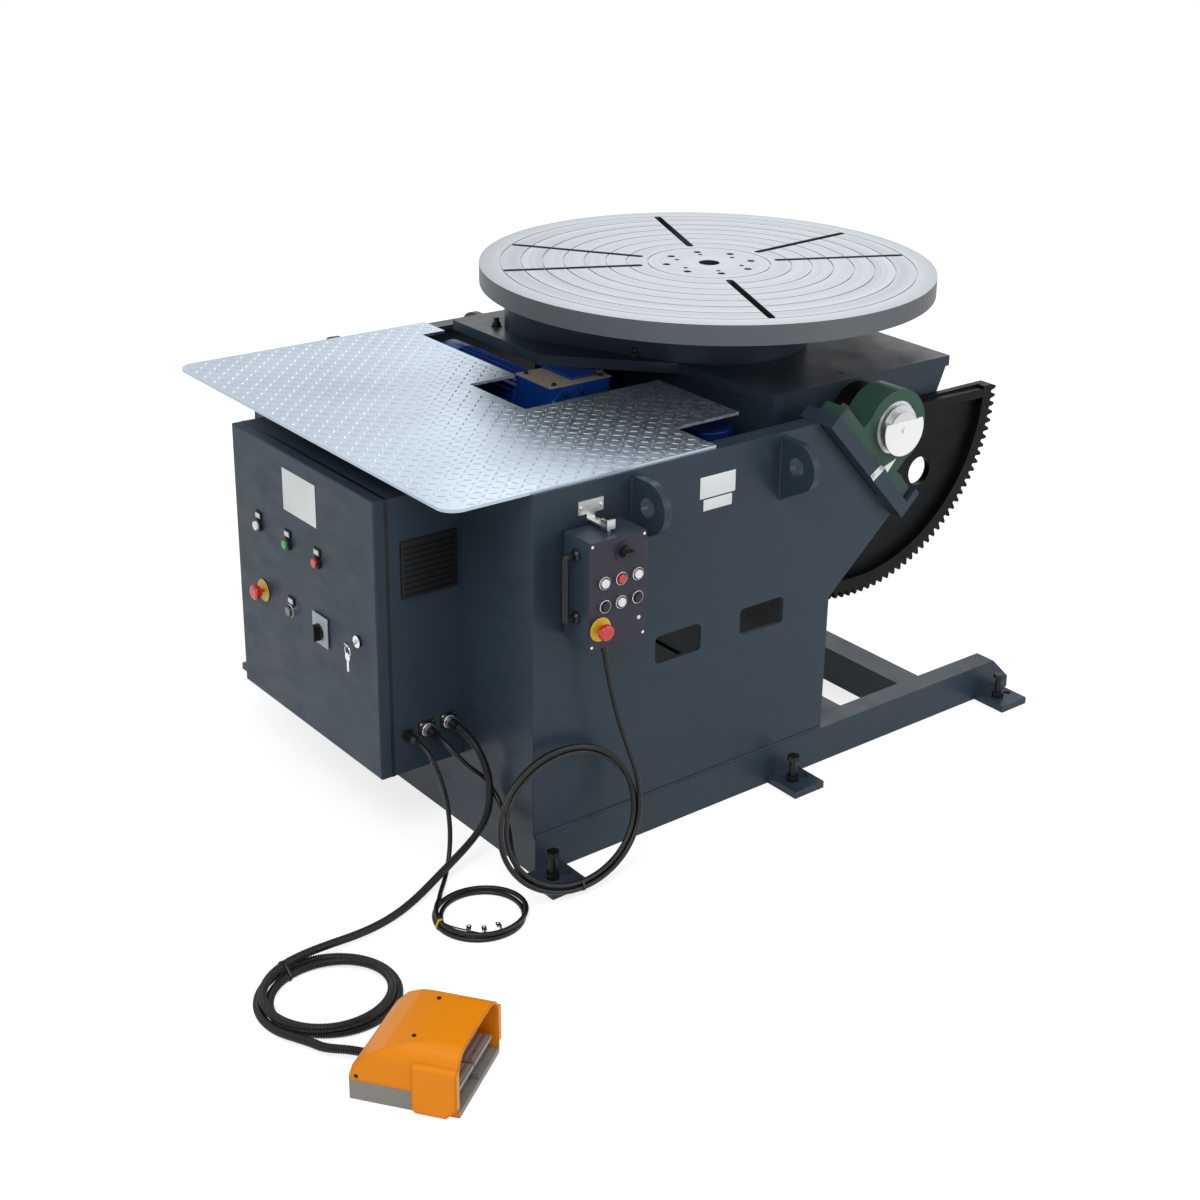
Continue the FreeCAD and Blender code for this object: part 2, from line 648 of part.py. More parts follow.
def angle_pointer():
    """A bent strip on the support plate whose tip stands beside the dial."""
    foot = AXIS + V(POINTER_FOOT[0], -SUPPORT_OUTSIDE_Y, POINTER_FOOT[1])
    tip = AXIS + V(POINTER_TIP[0], -SUPPORT_OUTSIDE_Y, POINTER_TIP[1])
    along = (tip - foot).normalize()
    across = along.cross(Y_AXIS)
    reach = (tip - foot).Length
    bend = 0.45 * reach
    step = SHAFT_END_Y + DIAL_THICK - SUPPORT_OUTSIDE_Y
    half = POINTER_WIDTH / 2
    thick = Y_AXIS * -POINTER_THICK

    def strip(outline, y_start, depth):
        corners = [foot + along * a + across * c + Y_AXIS * y_start for a, c in outline]
        return prism(corners, depth)

    seat = strip(((-half, -half), (bend, -half), (bend, half), (-half, half)), 0, thick)
    riser_end = bend - POINTER_THICK
    riser = strip(((riser_end, -half), (bend, -half), (bend, half), (riser_end, half)),
                  0, Y_AXIS * -(step + POINTER_THICK))
    arm = strip(((riser_end, -half), (bend, -half), (reach, 0), (bend, half), (riser_end, half)),
                -step, thick)
    screw = rod(foot + thick, 6, 4, -Y_AXIS)
    return fused(seat, riser, arm, screw)


def gear_sector():
    """Toothed sector with a thick rim, a pierced web, end ribs and a hub collar."""
    pitch = 360 / SECTOR_TEETH
    steps_back = int((SECTOR_SWEEP + TILT_PINION_AT) / pitch)
    steps_ahead = int(-TILT_PINION_AT / pitch)
    first = TILT_PINION_AT - steps_back * pitch
    teeth = gear_outline(SECTOR_MODULE, SECTOR_TEETH, first, steps_back + steps_ahead + 1)
    outline = [V(0, 0, 0)] + polar(teeth)
    blank = prism(outline, Z_AXIS * SECTOR_WIDTH)
    rim_inner = SECTOR_PITCH_R - 1.25 * SECTOR_MODULE - SECTOR_RIM
    last = first + (steps_back + steps_ahead) * pitch
    start_edge = V(math.cos(math.radians(first)), math.sin(math.radians(first)), 0)
    end_edge = V(math.cos(math.radians(last)), math.sin(math.radians(last)), 0)
    pocket = rod(V(0, 0, SECTOR_WEB), rim_inner, SECTOR_WIDTH)
    for edge, inward in ((start_edge, 1), (end_edge, -1)):
        side = Z_AXIS.cross(edge) * inward
        corners = [edge * -SECTOR_RIB, edge * rim_inner, edge * rim_inner + side * SECTOR_RIB,
                   side * SECTOR_RIB - edge * SECTOR_RIB]
        pocket = pocket.cut(prism([c + Z_AXIS * SECTOR_WEB for c in corners], Z_AXIS * SECTOR_WIDTH))
    sector = blank.cut(pocket)
    for angle in SECTOR_HOLES_AT:
        at = math.radians(angle)
        centre = V(SECTOR_HOLES_RADIUS * math.cos(at), SECTOR_HOLES_RADIUS * math.sin(at), 0)
        sector = sector.cut(rod(centre, SECTOR_HOLE_R, SECTOR_WEB))
    sector = fused(sector, rod(V(0, 0, 0), SECTOR_HUB_R, SECTOR_HUB_WIDTH))
    sector = sector.cut(rod(V(0, 0, -1), SHAFT_R, SECTOR_HUB_WIDTH + 2))
    return on_tilt_axis(sector, -HEAD_HALF_Y)


def tilt_pinion():
    """Pinion and shaft, from the reducer's bore to the bearing in the side plate."""
    towards_axis = TILT_PINION_AT + 180
    half_pitch = 180 / TILT_PINION_TEETH
    gear_start = HEAD_HALF_Y - PINION_OVERHANG
    width = SECTOR_WIDTH + 2 * PINION_OVERHANG
    gear = full_gear(SECTOR_MODULE, TILT_PINION_TEETH, towards_axis + half_pitch, width)
    shaft_start = TILT_BOX_FRONT_Y - TILT_BOX_WIDTH + 60
    shaft_end = PLATE_INSIDE_Y + 4
    shaft = rod(V(0, 0, shaft_start - gear_start), TILT_PINION_SHAFT_R, shaft_end - shaft_start)
    return seated(fused(gear, shaft), V(TILT_PINION_X, -gear_start, TILT_PINION_Z), -Y_AXIS)


# ---------------------------------------------------------------- head and table
def head_side_outline():
    rise = HEAD_TOP_Z - HEAD_BOTTOM_Z
    front = HEAD_FOOT_FRONT_X + (HEAD_FRONT_X - HEAD_FOOT_FRONT_X) * (rise - HEAD_PLATE_THICK) / rise
    return ((HEAD_REAR_X, HEAD_BOTTOM_Z), (HEAD_FOOT_FRONT_X, HEAD_BOTTOM_Z),
            (front, HEAD_PLATE_BOTTOM_Z), (HEAD_REAR_X, HEAD_PLATE_BOTTOM_Z))


def drive_bay(wall):
    """The space under the top plate, at the rear of the head, that the reducer fills."""
    reach = BAY_GAP + wall
    return box((SLEW_BOX_X[0], SLEW_BOX_X[1] + reach), (SLEW_BOX_Y[0] - reach, SLEW_BOX_Y[1] + reach),
               (HEAD_BOTTOM_Z, HEAD_PLATE_BOTTOM_Z))


def head_frame():
    """Thick top plate over a closed box of walls that carries the shafts."""
    plate_outline = [(HEAD_WING_REAR_X, HEAD_HALF_Y)] + list(HEAD_WING) + [
        (HEAD_REAR_X, -HEAD_HALF_Y), (HEAD_FRONT_X, -HEAD_HALF_Y), (HEAD_FRONT_X, HEAD_HALF_Y)]
    plate = flat_prism(plate_outline, (HEAD_PLATE_BOTTOM_Z, HEAD_TOP_Z))
    outer = side_prism(head_side_outline(), (-HEAD_HALF_Y, HEAD_HALF_Y)).cut(drive_bay(0))
    inside_y = HEAD_HALF_Y - HEAD_WALL
    low, front_low, front_high, high = head_side_outline()
    cavity_outline = (
        (low[0] + HEAD_WALL, low[1] + HEAD_WALL), (front_low[0] - HEAD_WALL, low[1] + HEAD_WALL),
        (front_high[0] - 1.5 * HEAD_WALL, high[1]), (high[0] + HEAD_WALL, high[1]))
    cavity = side_prism(cavity_outline, (-inside_y, inside_y)).cut(drive_bay(HEAD_WALL))
    walls = outer.cut(cavity)
    head = fused(plate, walls)
    shaft_hole = rod(V(AXIS_X, -HEAD_HALF_Y, AXIS_Z), SHAFT_R, HEAD_WALL, Y_AXIS)
    head = head.cut(shaft_hole).cut(mirrored(shaft_hole))
    drive_hole = V(SLEW_PINION_X, SLEW_PINION_Y, HEAD_PLATE_BOTTOM_Z)
    head = head.cut(rod(drive_hole, SLEW_SHAFT_R + 8, HEAD_PLATE_THICK))
    return head


def slewing_inner_ring():
    start = V(TABLE_X, 0, HEAD_TOP_Z)
    journal = ring(start, SLEW_JOURNAL_R, SLEW_INNER_R, TABLE_BOTTOM_Z - SLEW_TOP_GAP - HEAD_TOP_Z)
    flange_height = SLEW_GEAR_BOTTOM_Z - SLEW_FACE_GAP - HEAD_TOP_Z
    return fused(journal, ring(start, SLEW_FLANGE_R, SLEW_INNER_R, flange_height))


def slewing_gear_ring():
    tooth_at = SLEW_PINION_AT
    gear = full_gear(SLEW_MODULE, SLEW_TEETH, tooth_at, SLEW_GEAR_WIDTH)
    gear = gear.cut(rod(V(0, 0, 0), SLEW_JOURNAL_R + RUNNING_GAP, SLEW_GEAR_WIDTH))
    gear.translate(V(TABLE_X, 0, SLEW_GEAR_BOTTOM_Z))
    return gear


def rotation_pinion():
    towards_table = SLEW_PINION_AT + 180
    half_pitch = 180 / SLEW_PINION_TEETH
    width = SLEW_GEAR_WIDTH - 6
    gear = full_gear(SLEW_MODULE, SLEW_PINION_TEETH, towards_table + half_pitch, width)
    drop = SLEW_GEAR_BOTTOM_Z - (SLEW_BOX_Z[0] + 25)
    shaft = rod(V(0, 0, -drop), SLEW_SHAFT_R, drop)
    pinion = fused(gear, shaft)
    pinion.translate(V(SLEW_PINION_X, SLEW_PINION_Y, SLEW_GEAR_BOTTOM_Z))
    return pinion


def turntable():
    """Turned table with fine ring grooves, clamping slots and two circles of holes."""
    centre = V(TABLE_X, 0, TABLE_BOTTOM_Z)
    table = rod(centre, TABLE_R, TABLE_THICK)
    cuts = [rod(centre, TABLE_BORE_R, TABLE_THICK)]
    top = V(TABLE_X, 0, TABLE_TOP_Z - GROOVE_DEPTH)
    for step in range(GROOVE_COUNT):
        middle = GROOVE_FIRST_R + step * GROOVE_STEP
        cuts.append(ring(top, middle + GROOVE_WIDTH / 2, middle - GROOVE_WIDTH / 2, GROOVE_DEPTH))
    for angle in SLOT_ANGLES:
        length = (SLOT_INNER_R + SLOT_WIDTH / 2, SLOT_OUTER_R - SLOT_WIDTH / 2)
        slot = box(length, (-SLOT_WIDTH / 2, SLOT_WIDTH / 2), (0, TABLE_THICK))
        for end in length:
            slot = slot.fuse(rod(V(end, 0, 0), SLOT_WIDTH / 2, TABLE_THICK))
        slot.rotate(V(0, 0, 0), Z_AXIS, angle)
        slot.translate(centre)
        cuts.append(slot)
    for circle_r, hole_r, count, phase in (OUTER_HOLES, INNER_HOLES):
        for k in range(count):
            at = math.radians(phase + k * 360 / count)
            spot = centre + V(circle_r * math.cos(at), circle_r * math.sin(at), 0)
            cuts.append(rod(spot, hole_r, TABLE_THICK))
    table = table.cut(cuts)
    return table.Solids[0]


def guard_hull(inset, z):
    """The two circles of the guard joined by their outer tangents, less an inset."""
    low, high = z
    big = (TABLE_X, 0, GUARD_R - inset)
    small = (GUARD_BULGE[0], GUARD_BULGE[1], GUARD_BULGE[2] - inset)
    span = math.hypot(small[0] - big[0], small[1] - big[1])
    bearing = math.atan2(small[1] - big[1], small[0] - big[0])
    lean = math.acos((big[2] - small[2]) / span)
    corners = []
    for circle, turn in ((big, lean), (small, lean), (small, -lean), (big, -lean)):
        corners.append((circle[0] + circle[2] * math.cos(bearing + turn),
                        circle[1] + circle[2] * math.sin(bearing + turn)))
    bridge = flat_prism(corners, z)
    height = high - low
    return fused(bridge, rod(V(big[0], big[1], low), big[2], height),
                 rod(V(small[0], small[1], low), small[2], height))


def ring_guard():
    z = (HEAD_TOP_Z, HEAD_TOP_Z + GUARD_HEIGHT)
    return guard_hull(0, z).cut(guard_hull(GUARD_WALL, z))


# ---------------------------------------------------------------- drives
def motor(radius, length):
    """Finned motor drawn along +Z: flange, finned barrel, fan cowl and terminal box."""
    flange = rod(V(0, 0, 0), radius, 14)
    cowl_length = 0.2 * length
    barrel = rod(V(0, 0, 14), radius - FIN_HEIGHT, length - 14 - cowl_length)
    fins = []
    fin = box((radius - FIN_HEIGHT - 2, radius), (-1.5, 1.5), (14, length - cowl_length))
    for k in range(MOTOR_FINS):
        turned = fin.copy()
        turned.rotate(V(0, 0, 0), Z_AXIS, k * 360 / MOTOR_FINS)
        fins.append(turned)
    cowl = rod(V(0, 0, length - cowl_length), radius, cowl_length)
    cowl = cowl.makeFillet(8, [cowl.Edges[0]])
    return fused(flange, barrel, cowl, *fins)


def tilt_gearbox():
    z = (SHELF_TOP_Z, SHELF_TOP_Z + TILT_BOX_HEIGHT)
    case = rounded_box(TILT_BOX_X, TILT_BOX_Y, z, 14, Y_AXIS)
    hub = rod(V(TILT_PINION_X, TILT_BOX_Y[0] - 14, TILT_PINION_Z), PINION_BOSS_R, 20, Y_AXIS)
    case = fused(case, hub)
    bore = V(TILT_PINION_X, TILT_BOX_Y[0] - 20, TILT_PINION_Z)
    depth = TILT_BOX_WIDTH - 30
    return case.cut(rod(bore, TILT_PINION_SHAFT_R + RUNNING_GAP, depth, Y_AXIS))


def tilt_motor():
    base_z = SHELF_TOP_Z + TILT_BOX_HEIGHT
    middle_y = (TILT_BOX_Y[0] + TILT_BOX_Y[1]) / 2
    drive = motor(TILT_MOTOR_R, TILT_MOTOR_LENGTH)
    drive.translate(V(TILT_MOTOR_X, middle_y, base_z))
    return drive


def rotation_gearbox():
    """Right-angle reducer hung under the head plate, with its first stage behind it."""
    case = rounded_box(SLEW_BOX_X, SLEW_BOX_Y, SLEW_BOX_Z, 16, Z_AXIS)
    top = SLEW_BOX_Z[1]
    spot = V(SLEW_PINION_X, SLEW_PINION_Y, 0)
    spigot = rod(spot + Z_AXIS * top, 72, 24)
    pieces = [spigot]
    for corner_x in (SLEW_BOX_X[0] + 24, SLEW_BOX_X[1] - 24):
        for corner_y in (SLEW_BOX_Y[0] + 24, SLEW_BOX_Y[1] - 24):
            pieces.append(rod(V(corner_x, corner_y, top), 14, HEAD_PLATE_BOTTOM_Z - top))
    stage = rounded_box(FIRST_STAGE_X, FIRST_STAGE_Y, FIRST_STAGE_Z, 18, Z_AXIS)
    flange = rod(V(SLEW_MOTOR_X, FIRST_STAGE_Y[0] - 8, SLEW_MOTOR_Z), 82, 8, Y_AXIS)
    neck = rod(V(FIRST_STAGE_X[1] - 30, FIRST_STAGE_Y[1] - 12, (SLEW_BOX_Z[0] + top) / 2), 40, 50, Y_AXIS)
    joint = box((FIRST_STAGE_X[1] - 60, SLEW_BOX_X[0] + 60), (SLEW_BOX_Y[0] - 8, SLEW_BOX_Y[0] + 60),
                (FIRST_STAGE_Z[0] + 5, top - 5))
    hanger = box((FIRST_STAGE_X[0] + 92, FIRST_STAGE_X[0] + 180), (FIRST_STAGE_Y[0] + 30, FIRST_STAGE_Y[1]),
                 (FIRST_STAGE_Z[1], HEAD_PLATE_BOTTOM_Z))
    solid = fused(case, stage, flange, neck, joint, hanger, *pieces)
    bore_z = SLEW_BOX_Z[0] + 20
    return solid.cut(rod(spot + Z_AXIS * bore_z, SLEW_SHAFT_R + RUNNING_GAP, top + 24 - bore_z))


def rotation_motor():
    start = V(SLEW_MOTOR_X, FIRST_STAGE_Y[1], SLEW_MOTOR_Z)
    return seated(motor(SLEW_MOTOR_R, SLEW_MOTOR_LENGTH), start, Y_AXIS)


# ---------------------------------------------------------------- cabinet and its door
def cabinet_body():
    x = (CABINET_FRONT_X, BEAM_REAR_X)
    wall = CABINET_WALL
    shell = box(x, CABINET_Y, CABINET_Z).cut(box(
        (x[0], x[1] - wall), (CABINET_Y[0] + wall, CABINET_Y[1] - wall),
        (CABINET_Z[0] + wall, CABINET_Z[1] - wall)))
    side = CABINET_Y[1]
    pieces = []
    for z in HINGES_Z:
        leaf = box((CABINET_FRONT_X, CABINET_FRONT_X + 30), (side, side + 2), (z, z + HINGE_LENGTH))
        axis = V(CABINET_FRONT_X, side + HINGE_OUT, z)
        barrel = rod(axis, HINGE_BARREL_R, HINGE_LENGTH / 2)
        link = box((CABINET_FRONT_X, CABINET_FRONT_X + HINGE_BARREL_R), (side, side + HINGE_OUT),
                   (z, z + HINGE_LENGTH / 2))
        pieces += [leaf, barrel, link, rod(axis, HINGE_PIN_R, HINGE_LENGTH)]
    return fused(shell, *pieces)


def cabinet_door():
    x = (DOOR_FACE_X, CABINET_FRONT_X - DOOR_GAP)
    wall = CABINET_WALL
    door = box(x, CABINET_Y, CABINET_Z)
    door = door.makeFillet(4, [edge for edge in door.Edges if abs(edge.CenterOfMass.x - x[0]) < 1e-3])
    door = door.cut(box(
        (x[0] + wall, x[1]), (CABINET_Y[0] + wall + 12, CABINET_Y[1] - wall - 12),
        (CABINET_Z[0] + wall + 12, CABINET_Z[1] - wall - 12)))
    side = CABINET_Y[1]
    for z in HINGES_Z:
        low = z + HINGE_LENGTH / 2 + 0.5
        axis = V(CABINET_FRONT_X, side + HINGE_OUT, low)
        height = HINGE_LENGTH / 2 - 0.5
        arm = box((CABINET_FRONT_X - 14, CABINET_FRONT_X - DOOR_GAP), (side, side + HINGE_OUT),
                  (low, low + height))
        door = fused(door, rod(axis, HINGE_BARREL_R, height), arm)
        door = door.cut(rod(axis, HINGE_PIN_R + RUNNING_GAP, height))
    for y, z in list(DOOR_BUTTONS.values()) + [DOOR_ESTOP_AT]:
        door = door.cut(rod(V(x[0], y, z), DOOR_CAP_R, wall, X_AXIS))
    for y, z in (ISOLATOR_AT, KEY_AT):
        door = door.cut(rod(V(x[0], y, z), DOOR_CAP_R, wall, X_AXIS))
    return door


def control_gear():
    """Mounting plate on four posts in the cabinet, with the switchgear that it carries."""
    back = BEAM_REAR_X - CABINET_WALL
    plate_x = (back - GEAR_POST - GEAR_PLATE, back - GEAR_POST)
    y = (CABINET_Y[0] + GEAR_MARGIN, CABINET_Y[1] - GEAR_MARGIN)
    z = (CABINET_Z[0] + GEAR_MARGIN, CABINET_Z[1] - GEAR_MARGIN)
    pieces = [box(plate_x, y, z)]
    for post_y in (y[0] + 20, y[1] - 20):
        for post_z in (z[0] + 20, z[1] - 20):
            pieces.append(rod(V(plate_x[1], post_y, post_z), 6, GEAR_POST, X_AXIS))
    solids = [fused(*pieces)]
    for width, height, depth, from_side, from_floor in GEAR_DEVICES:
        low_y = y[0] + from_side
        low_z = z[0] + from_floor
        solids.append(box((plate_x[0] - depth, plate_x[0]), (low_y, low_y + width), (low_z, low_z + height)))
    return Part.makeCompound(solids)


def button_bezel(cap_r, rim, stem_r, disc_r=0):
    """Ring that stands on a panel, and the guide behind it, drawn with +Z outward."""
    guide = ring(V(0, 0, -18), cap_r, stem_r + RUNNING_GAP, 18)
    if disc_r:
        return fused(guide, ring(V(0, 0, 0), disc_r, stem_r + RUNNING_GAP, 2.5))
    floor = ring(V(0, 0, 0), cap_r + 4, stem_r + RUNNING_GAP, 1.5)
    return fused(guide, floor, ring(V(0, 0, 0), cap_r + 4, cap_r + 0.3, rim))


def push_button(cap_r, rim, stroke, stem_r):
    """Round cap and stem; at the end of its stroke the cap meets the bezel's floor."""
    cap = rod(V(0, 0, 1.8 + stroke), cap_r, rim)
    cap = cap.makeFillet(1.5, [cap.Edges[0]])
    return fused(cap, rod(V(0, 0, -14), stem_r, 16 + stroke))


def mushroom_button(stroke, stem_r):
    """Emergency stop: a domed head on a stem."""
    head = Part.makeCone(MUSHROOM_R - 4, MUSHROOM_R, 8, V(0, 0, 10 + stroke))
    dome = rod(V(0, 0, 18 + stroke), MUSHROOM_R, 12)
    dome = dome.makeFillet(6, [dome.Edges[0]])
    return fused(head, dome, rod(V(0, 0, -14), stem_r, 26 + stroke))


def rotary_knob(radius, height, stem_r):
    """Round knob with a grip bar across it, on a stem."""
    skirt = rod(V(0, 0, 5), radius, 0.4 * height)
    grip = rounded_box((-radius, radius), (-0.28 * radius, 0.28 * radius), (5, 5 + height), 2, Z_AXIS)
    return fused(skirt, grip, rod(V(0, 0, -14), stem_r, 20))


OUT_OF_DOOR = V(-1, 0, 0)
OUT_OF_PENDANT = V(0, -1, 0)


def on_door(shape, spot):
    return seated(shape, V(DOOR_FACE_X, spot[0], spot[1]), OUT_OF_DOOR)


def on_pendant(shape, spot):
    return seated(shape, V(spot[0], PENDANT_FACE_Y, spot[1]), OUT_OF_PENDANT)


def door_bezels():
    bezel = button_bezel(DOOR_CAP_R, BEZEL_RIM, BUTTON_STEM_R)
    pieces = [on_door(bezel, spot) for spot in DOOR_BUTTONS.values()]
    pieces.append(on_door(button_bezel(DOOR_CAP_R, BEZEL_RIM, BUTTON_STEM_R, ESTOP_DISC_R), DOOR_ESTOP_AT))
    half = ISOLATOR_PLATE / 2
    plate = rounded_box((-half, half), (-half, half), (0, 4), 5, Z_AXIS)
    plate = fused(plate, rod(V(0, 0, -18), DOOR_CAP_R, 18))
    plate = plate.cut(rod(V(0, 0, -18), BUTTON_STEM_R + RUNNING_GAP, 22))
    pieces.append(on_door(plate, ISOLATOR_AT))
    lock = fused(rod(V(0, 0, 0), DOOR_CAP_R + 3, 5), rod(V(0, 0, -18), DOOR_CAP_R, 18))
    lock = lock.cut(rod(V(0, 0, -10), BUTTON_STEM_R + RUNNING_GAP, 15))
    pieces.append(on_door(lock, KEY_AT))
    return Part.makeCompound(pieces)


def isolator_knob():
    return on_door(rotary_knob(22, 22, BUTTON_STEM_R), ISOLATOR_AT)


def door_key():
    plug = rod(V(0, 0, -9), BUTTON_STEM_R, 14)
    bow = rounded_box((-1.2, 1.2), (-10, 10), (12, 34), 1, Z_AXIS)
    shank = box((-1.2, 1.2), (-3, 3), (5, 13))
    return on_door(fused(plug, shank, bow), KEY_AT)


def cabinet_fittings():
    """Vent grille, cable gland and two sockets on the cabinet's near side."""
    side = CABINET_Y[0]
    pieces = []
    frame = box(VENT_X, (side - VENT_OUT, side), VENT_Z)
    louvre_x = (VENT_X[0] + VENT_EDGE, VENT_X[1] - VENT_EDGE)
    for row in range(VENT_ROWS):
        low = VENT_Z[0] + VENT_EDGE + row * VENT_PITCH
        frame = frame.cut(box(louvre_x, (side - VENT_OUT, side - 1.5), (low, low + VENT_PITCH - 6)))
    pieces.append(frame)
    gland = V(POWER_GLAND[0], side, POWER_GLAND[1])
    collar = fused(hexagon(2.4 * GLAND_R, 9, gland, -Y_AXIS),
                   rod(gland, GLAND_R, GLAND_OUT, -Y_AXIS))
    pieces.append(collar)
    for spot in (SOCKET_1, SOCKET_2):
        origin = V(spot[0], side, spot[1])
        flange = rounded_box((spot[0] - SOCKET_R - 6, spot[0] + SOCKET_R + 6), (side - 3, side),
                             (spot[1] - SOCKET_R - 6, spot[1] + SOCKET_R + 6), 4, Y_AXIS)
        pieces.append(fused(flange, rod(origin, SOCKET_R, SOCKET_OUT, -Y_AXIS)))
    return Part.makeCompound(pieces)


# ---------------------------------------------------------------- control pendant
def pendant_box():
    case = box(PENDANT_X, (PENDANT_Y[0] + PENDANT_PANEL_THICK, PENDANT_Y[1]), PENDANT_Z)
    case = case.makeFillet(5, [edge for edge in case.Edges if is_along(edge, Y_AXIS)])
    wall = 4
    return case.cut(box(
        (PENDANT_X[0] + wall, PENDANT_X[1] - wall),
        (PENDANT_Y[0] + PENDANT_PANEL_THICK, PENDANT_Y[1] - wall),
        (PENDANT_Z[0] + wall, PENDANT_Z[1] - wall)))


def pendant_panel():
    """Front plate with the bezels of all its controls."""
    panel = box(PENDANT_X, (PENDANT_Y[0], PENDANT_Y[0] + PENDANT_PANEL_THICK), PENDANT_Z)
    panel = panel.makeFillet(5, [edge for edge in panel.Edges if is_along(edge, Y_AXIS)])
    spots = list(PENDANT_BUTTONS) + [PENDANT_ESTOP_AT, PENDANT_KNOB_AT]
    for spot in spots:
        panel = panel.cut(rod(V(spot[0], PENDANT_Y[0], spot[1]), PENDANT_CAP_R, PENDANT_PANEL_THICK, Y_AXIS))
    bezel = button_bezel(PENDANT_CAP_R, BEZEL_RIM, BUTTON_STEM_R)
    for spot in PENDANT_BUTTONS:
        panel = panel.fuse(on_pendant(bezel, spot))
    for spot, disc_r in ((PENDANT_ESTOP_AT, ESTOP_DISC_R), (PENDANT_KNOB_AT, 26)):
        disc = button_bezel(PENDANT_CAP_R, BEZEL_RIM, BUTTON_STEM_R, disc_r)
        panel = panel.fuse(on_pendant(disc, spot))
    return fused(panel)


def pendant_handles():
    """Round bar handles bent back to the case at both ends."""
    middle_y = (PENDANT_Y[0] + PENDANT_Y[1]) / 2
    bars = []
    for side_x, outward in ((PENDANT_X[0], -1), (PENDANT_X[1], 1)):
        far_x = side_x + outward * (PENDANT_HANDLE_OUT - PENDANT_HANDLE_R)
        pieces = []
        for z in HANDLE_Z:
            start = V(min(side_x, far_x), middle_y, z)
            pieces.append(rod(start, PENDANT_HANDLE_R, abs(far_x - side_x), X_AXIS))
            pieces.append(Part.makeSphere(PENDANT_HANDLE_R, V(far_x, middle_y, z)))
        pieces.append(rod(V(far_x, middle_y, HANDLE_Z[0]), PENDANT_HANDLE_R, HANDLE_Z[1] - HANDLE_Z[0]))
        bars.append(fused(*pieces))
    return Part.makeCompound(bars)


def pendant_bracket():
    """Wall strip with a hook that passes through the loop on top of the pendant."""
    wall_y = -PLATE_OUTSIDE_Y
    strip = box(BRACKET_X, (wall_y - 4, wall_y), BRACKET_Z)
    middle = (BRACKET_X[0] + BRACKET_X[1]) / 2
    reach = (PENDANT_Y[0] + PENDANT_Y[1]) / 2
    arm = box((middle - 12, middle + 12), (reach - 20, wall_y), (PENDANT_Z[1] + 8, PENDANT_Z[1] + 14))
    drop = box((middle - 12, middle + 12), (wall_y - 4, wall_y), (PENDANT_Z[1] + 8, BRACKET_Z[0]))
    tip = box((middle - 12, middle + 12), (reach - 20, reach - 14), (PENDANT_Z[1] + 8, BRACKET_Z[0] + 6))
    tab = box((middle - 4, middle + 4), (reach - 12, reach + 16), (PENDANT_Z[1], PENDANT_Z[1] + 24))
    hook = fused(strip, arm, drop, tip)
    hook = hook.cut(box((middle - 4.3, middle + 4.3), (reach - 12.3, reach + 16.3),
                        (PENDANT_Z[1] + 7, PENDANT_Z[1] + 15)))
    return Part.makeCompound([hook, tab])


# ---------------------------------------------------------------- foot switch
def on_pedal_floor(shape):
    """From the foot switch's own axes (its open front looks along -Y) to the floor."""
    placed = shape.copy()
    turn = FreeCAD.Placement(V(PEDAL_AT[0], PEDAL_AT[1], 0), FreeCAD.Rotation(Z_AXIS, PEDAL_TURN))
    placed.Placement = turn.multiply(placed.Placement)
    return placed


def pedal_base():
    """Floor plate with side walls, a switch block at the back and a gland for the cable."""
    half_w = PEDAL_WIDTH / 2
    half_l = PEDAL_LENGTH / 2
    wing_end = PEDAL_WING_LENGTH - half_l
    floor = box((-half_w, half_w), (-half_l, half_l), (0, PEDAL_FLOOR))
    block = box((-half_w, half_w), (PEDAL_PIN_Y + 16, half_l), (0, PEDAL_BLOCK_HEIGHT))
    divider = box((2 - PEDAL_GAP / 2, PEDAL_GAP / 2 - 2), (-half_l, PEDAL_PIN_Y - 20), (0, PEDAL_PIN_Z))
    pieces = [floor, block, divider]
    inner = half_w - PEDAL_SIDE_WALL
    outer = half_w + PEDAL_GUARD_WALL
    for x in ((-outer, -inner), (inner, outer)):
        pieces.append(box(x, (wing_end, half_l), (0, PEDAL_BLOCK_HEIGHT)))
    pieces.append(rod(V(0, half_l, PEDAL_GLAND_Z), PEDAL_GLAND_R, PEDAL_GLAND_OUT, Y_AXIS))
    base = fused(*pieces)
    pin_hole = rod(V(-half_w, PEDAL_PIN_Y, PEDAL_PIN_Z), PEDAL_PIN_R, PEDAL_WIDTH, X_AXIS)
    return on_pedal_floor(base.cut(pin_hole))


def guard_form(half_width, inset):
    """Arched hood, high at the open front and falling in a curve to the back."""
    half_l = PEDAL_LENGTH / 2
    height = PEDAL_GUARD_HEIGHT - inset
    radius = 0.4 * half_width
    tunnel = box((-half_width, half_width), (-half_l, half_l - inset), (0, height))
    top_edges = [e for e in tunnel.Edges if is_along(e, Y_AXIS) and e.CenterOfMass.z > height - 1]
    tunnel = tunnel.makeFillet(radius, top_edges)
    fall = height - (PEDAL_GUARD_REAR - inset)
    run = half_l - inset + PEDAL_ROOF_FRONT
    side = [(-half_l, 0), (-half_l, height)]
    for step in range(6):
        turn = step * math.pi / 10
        side.append((run * math.sin(turn) - PEDAL_ROOF_FRONT, height - fall * (1 - math.cos(turn))))
    side.append((half_l - inset, 0))
    profile = prism([V(-half_width, py, pz) for py, pz in side], X_AXIS * (2 * half_width))
    return tunnel.common(profile)


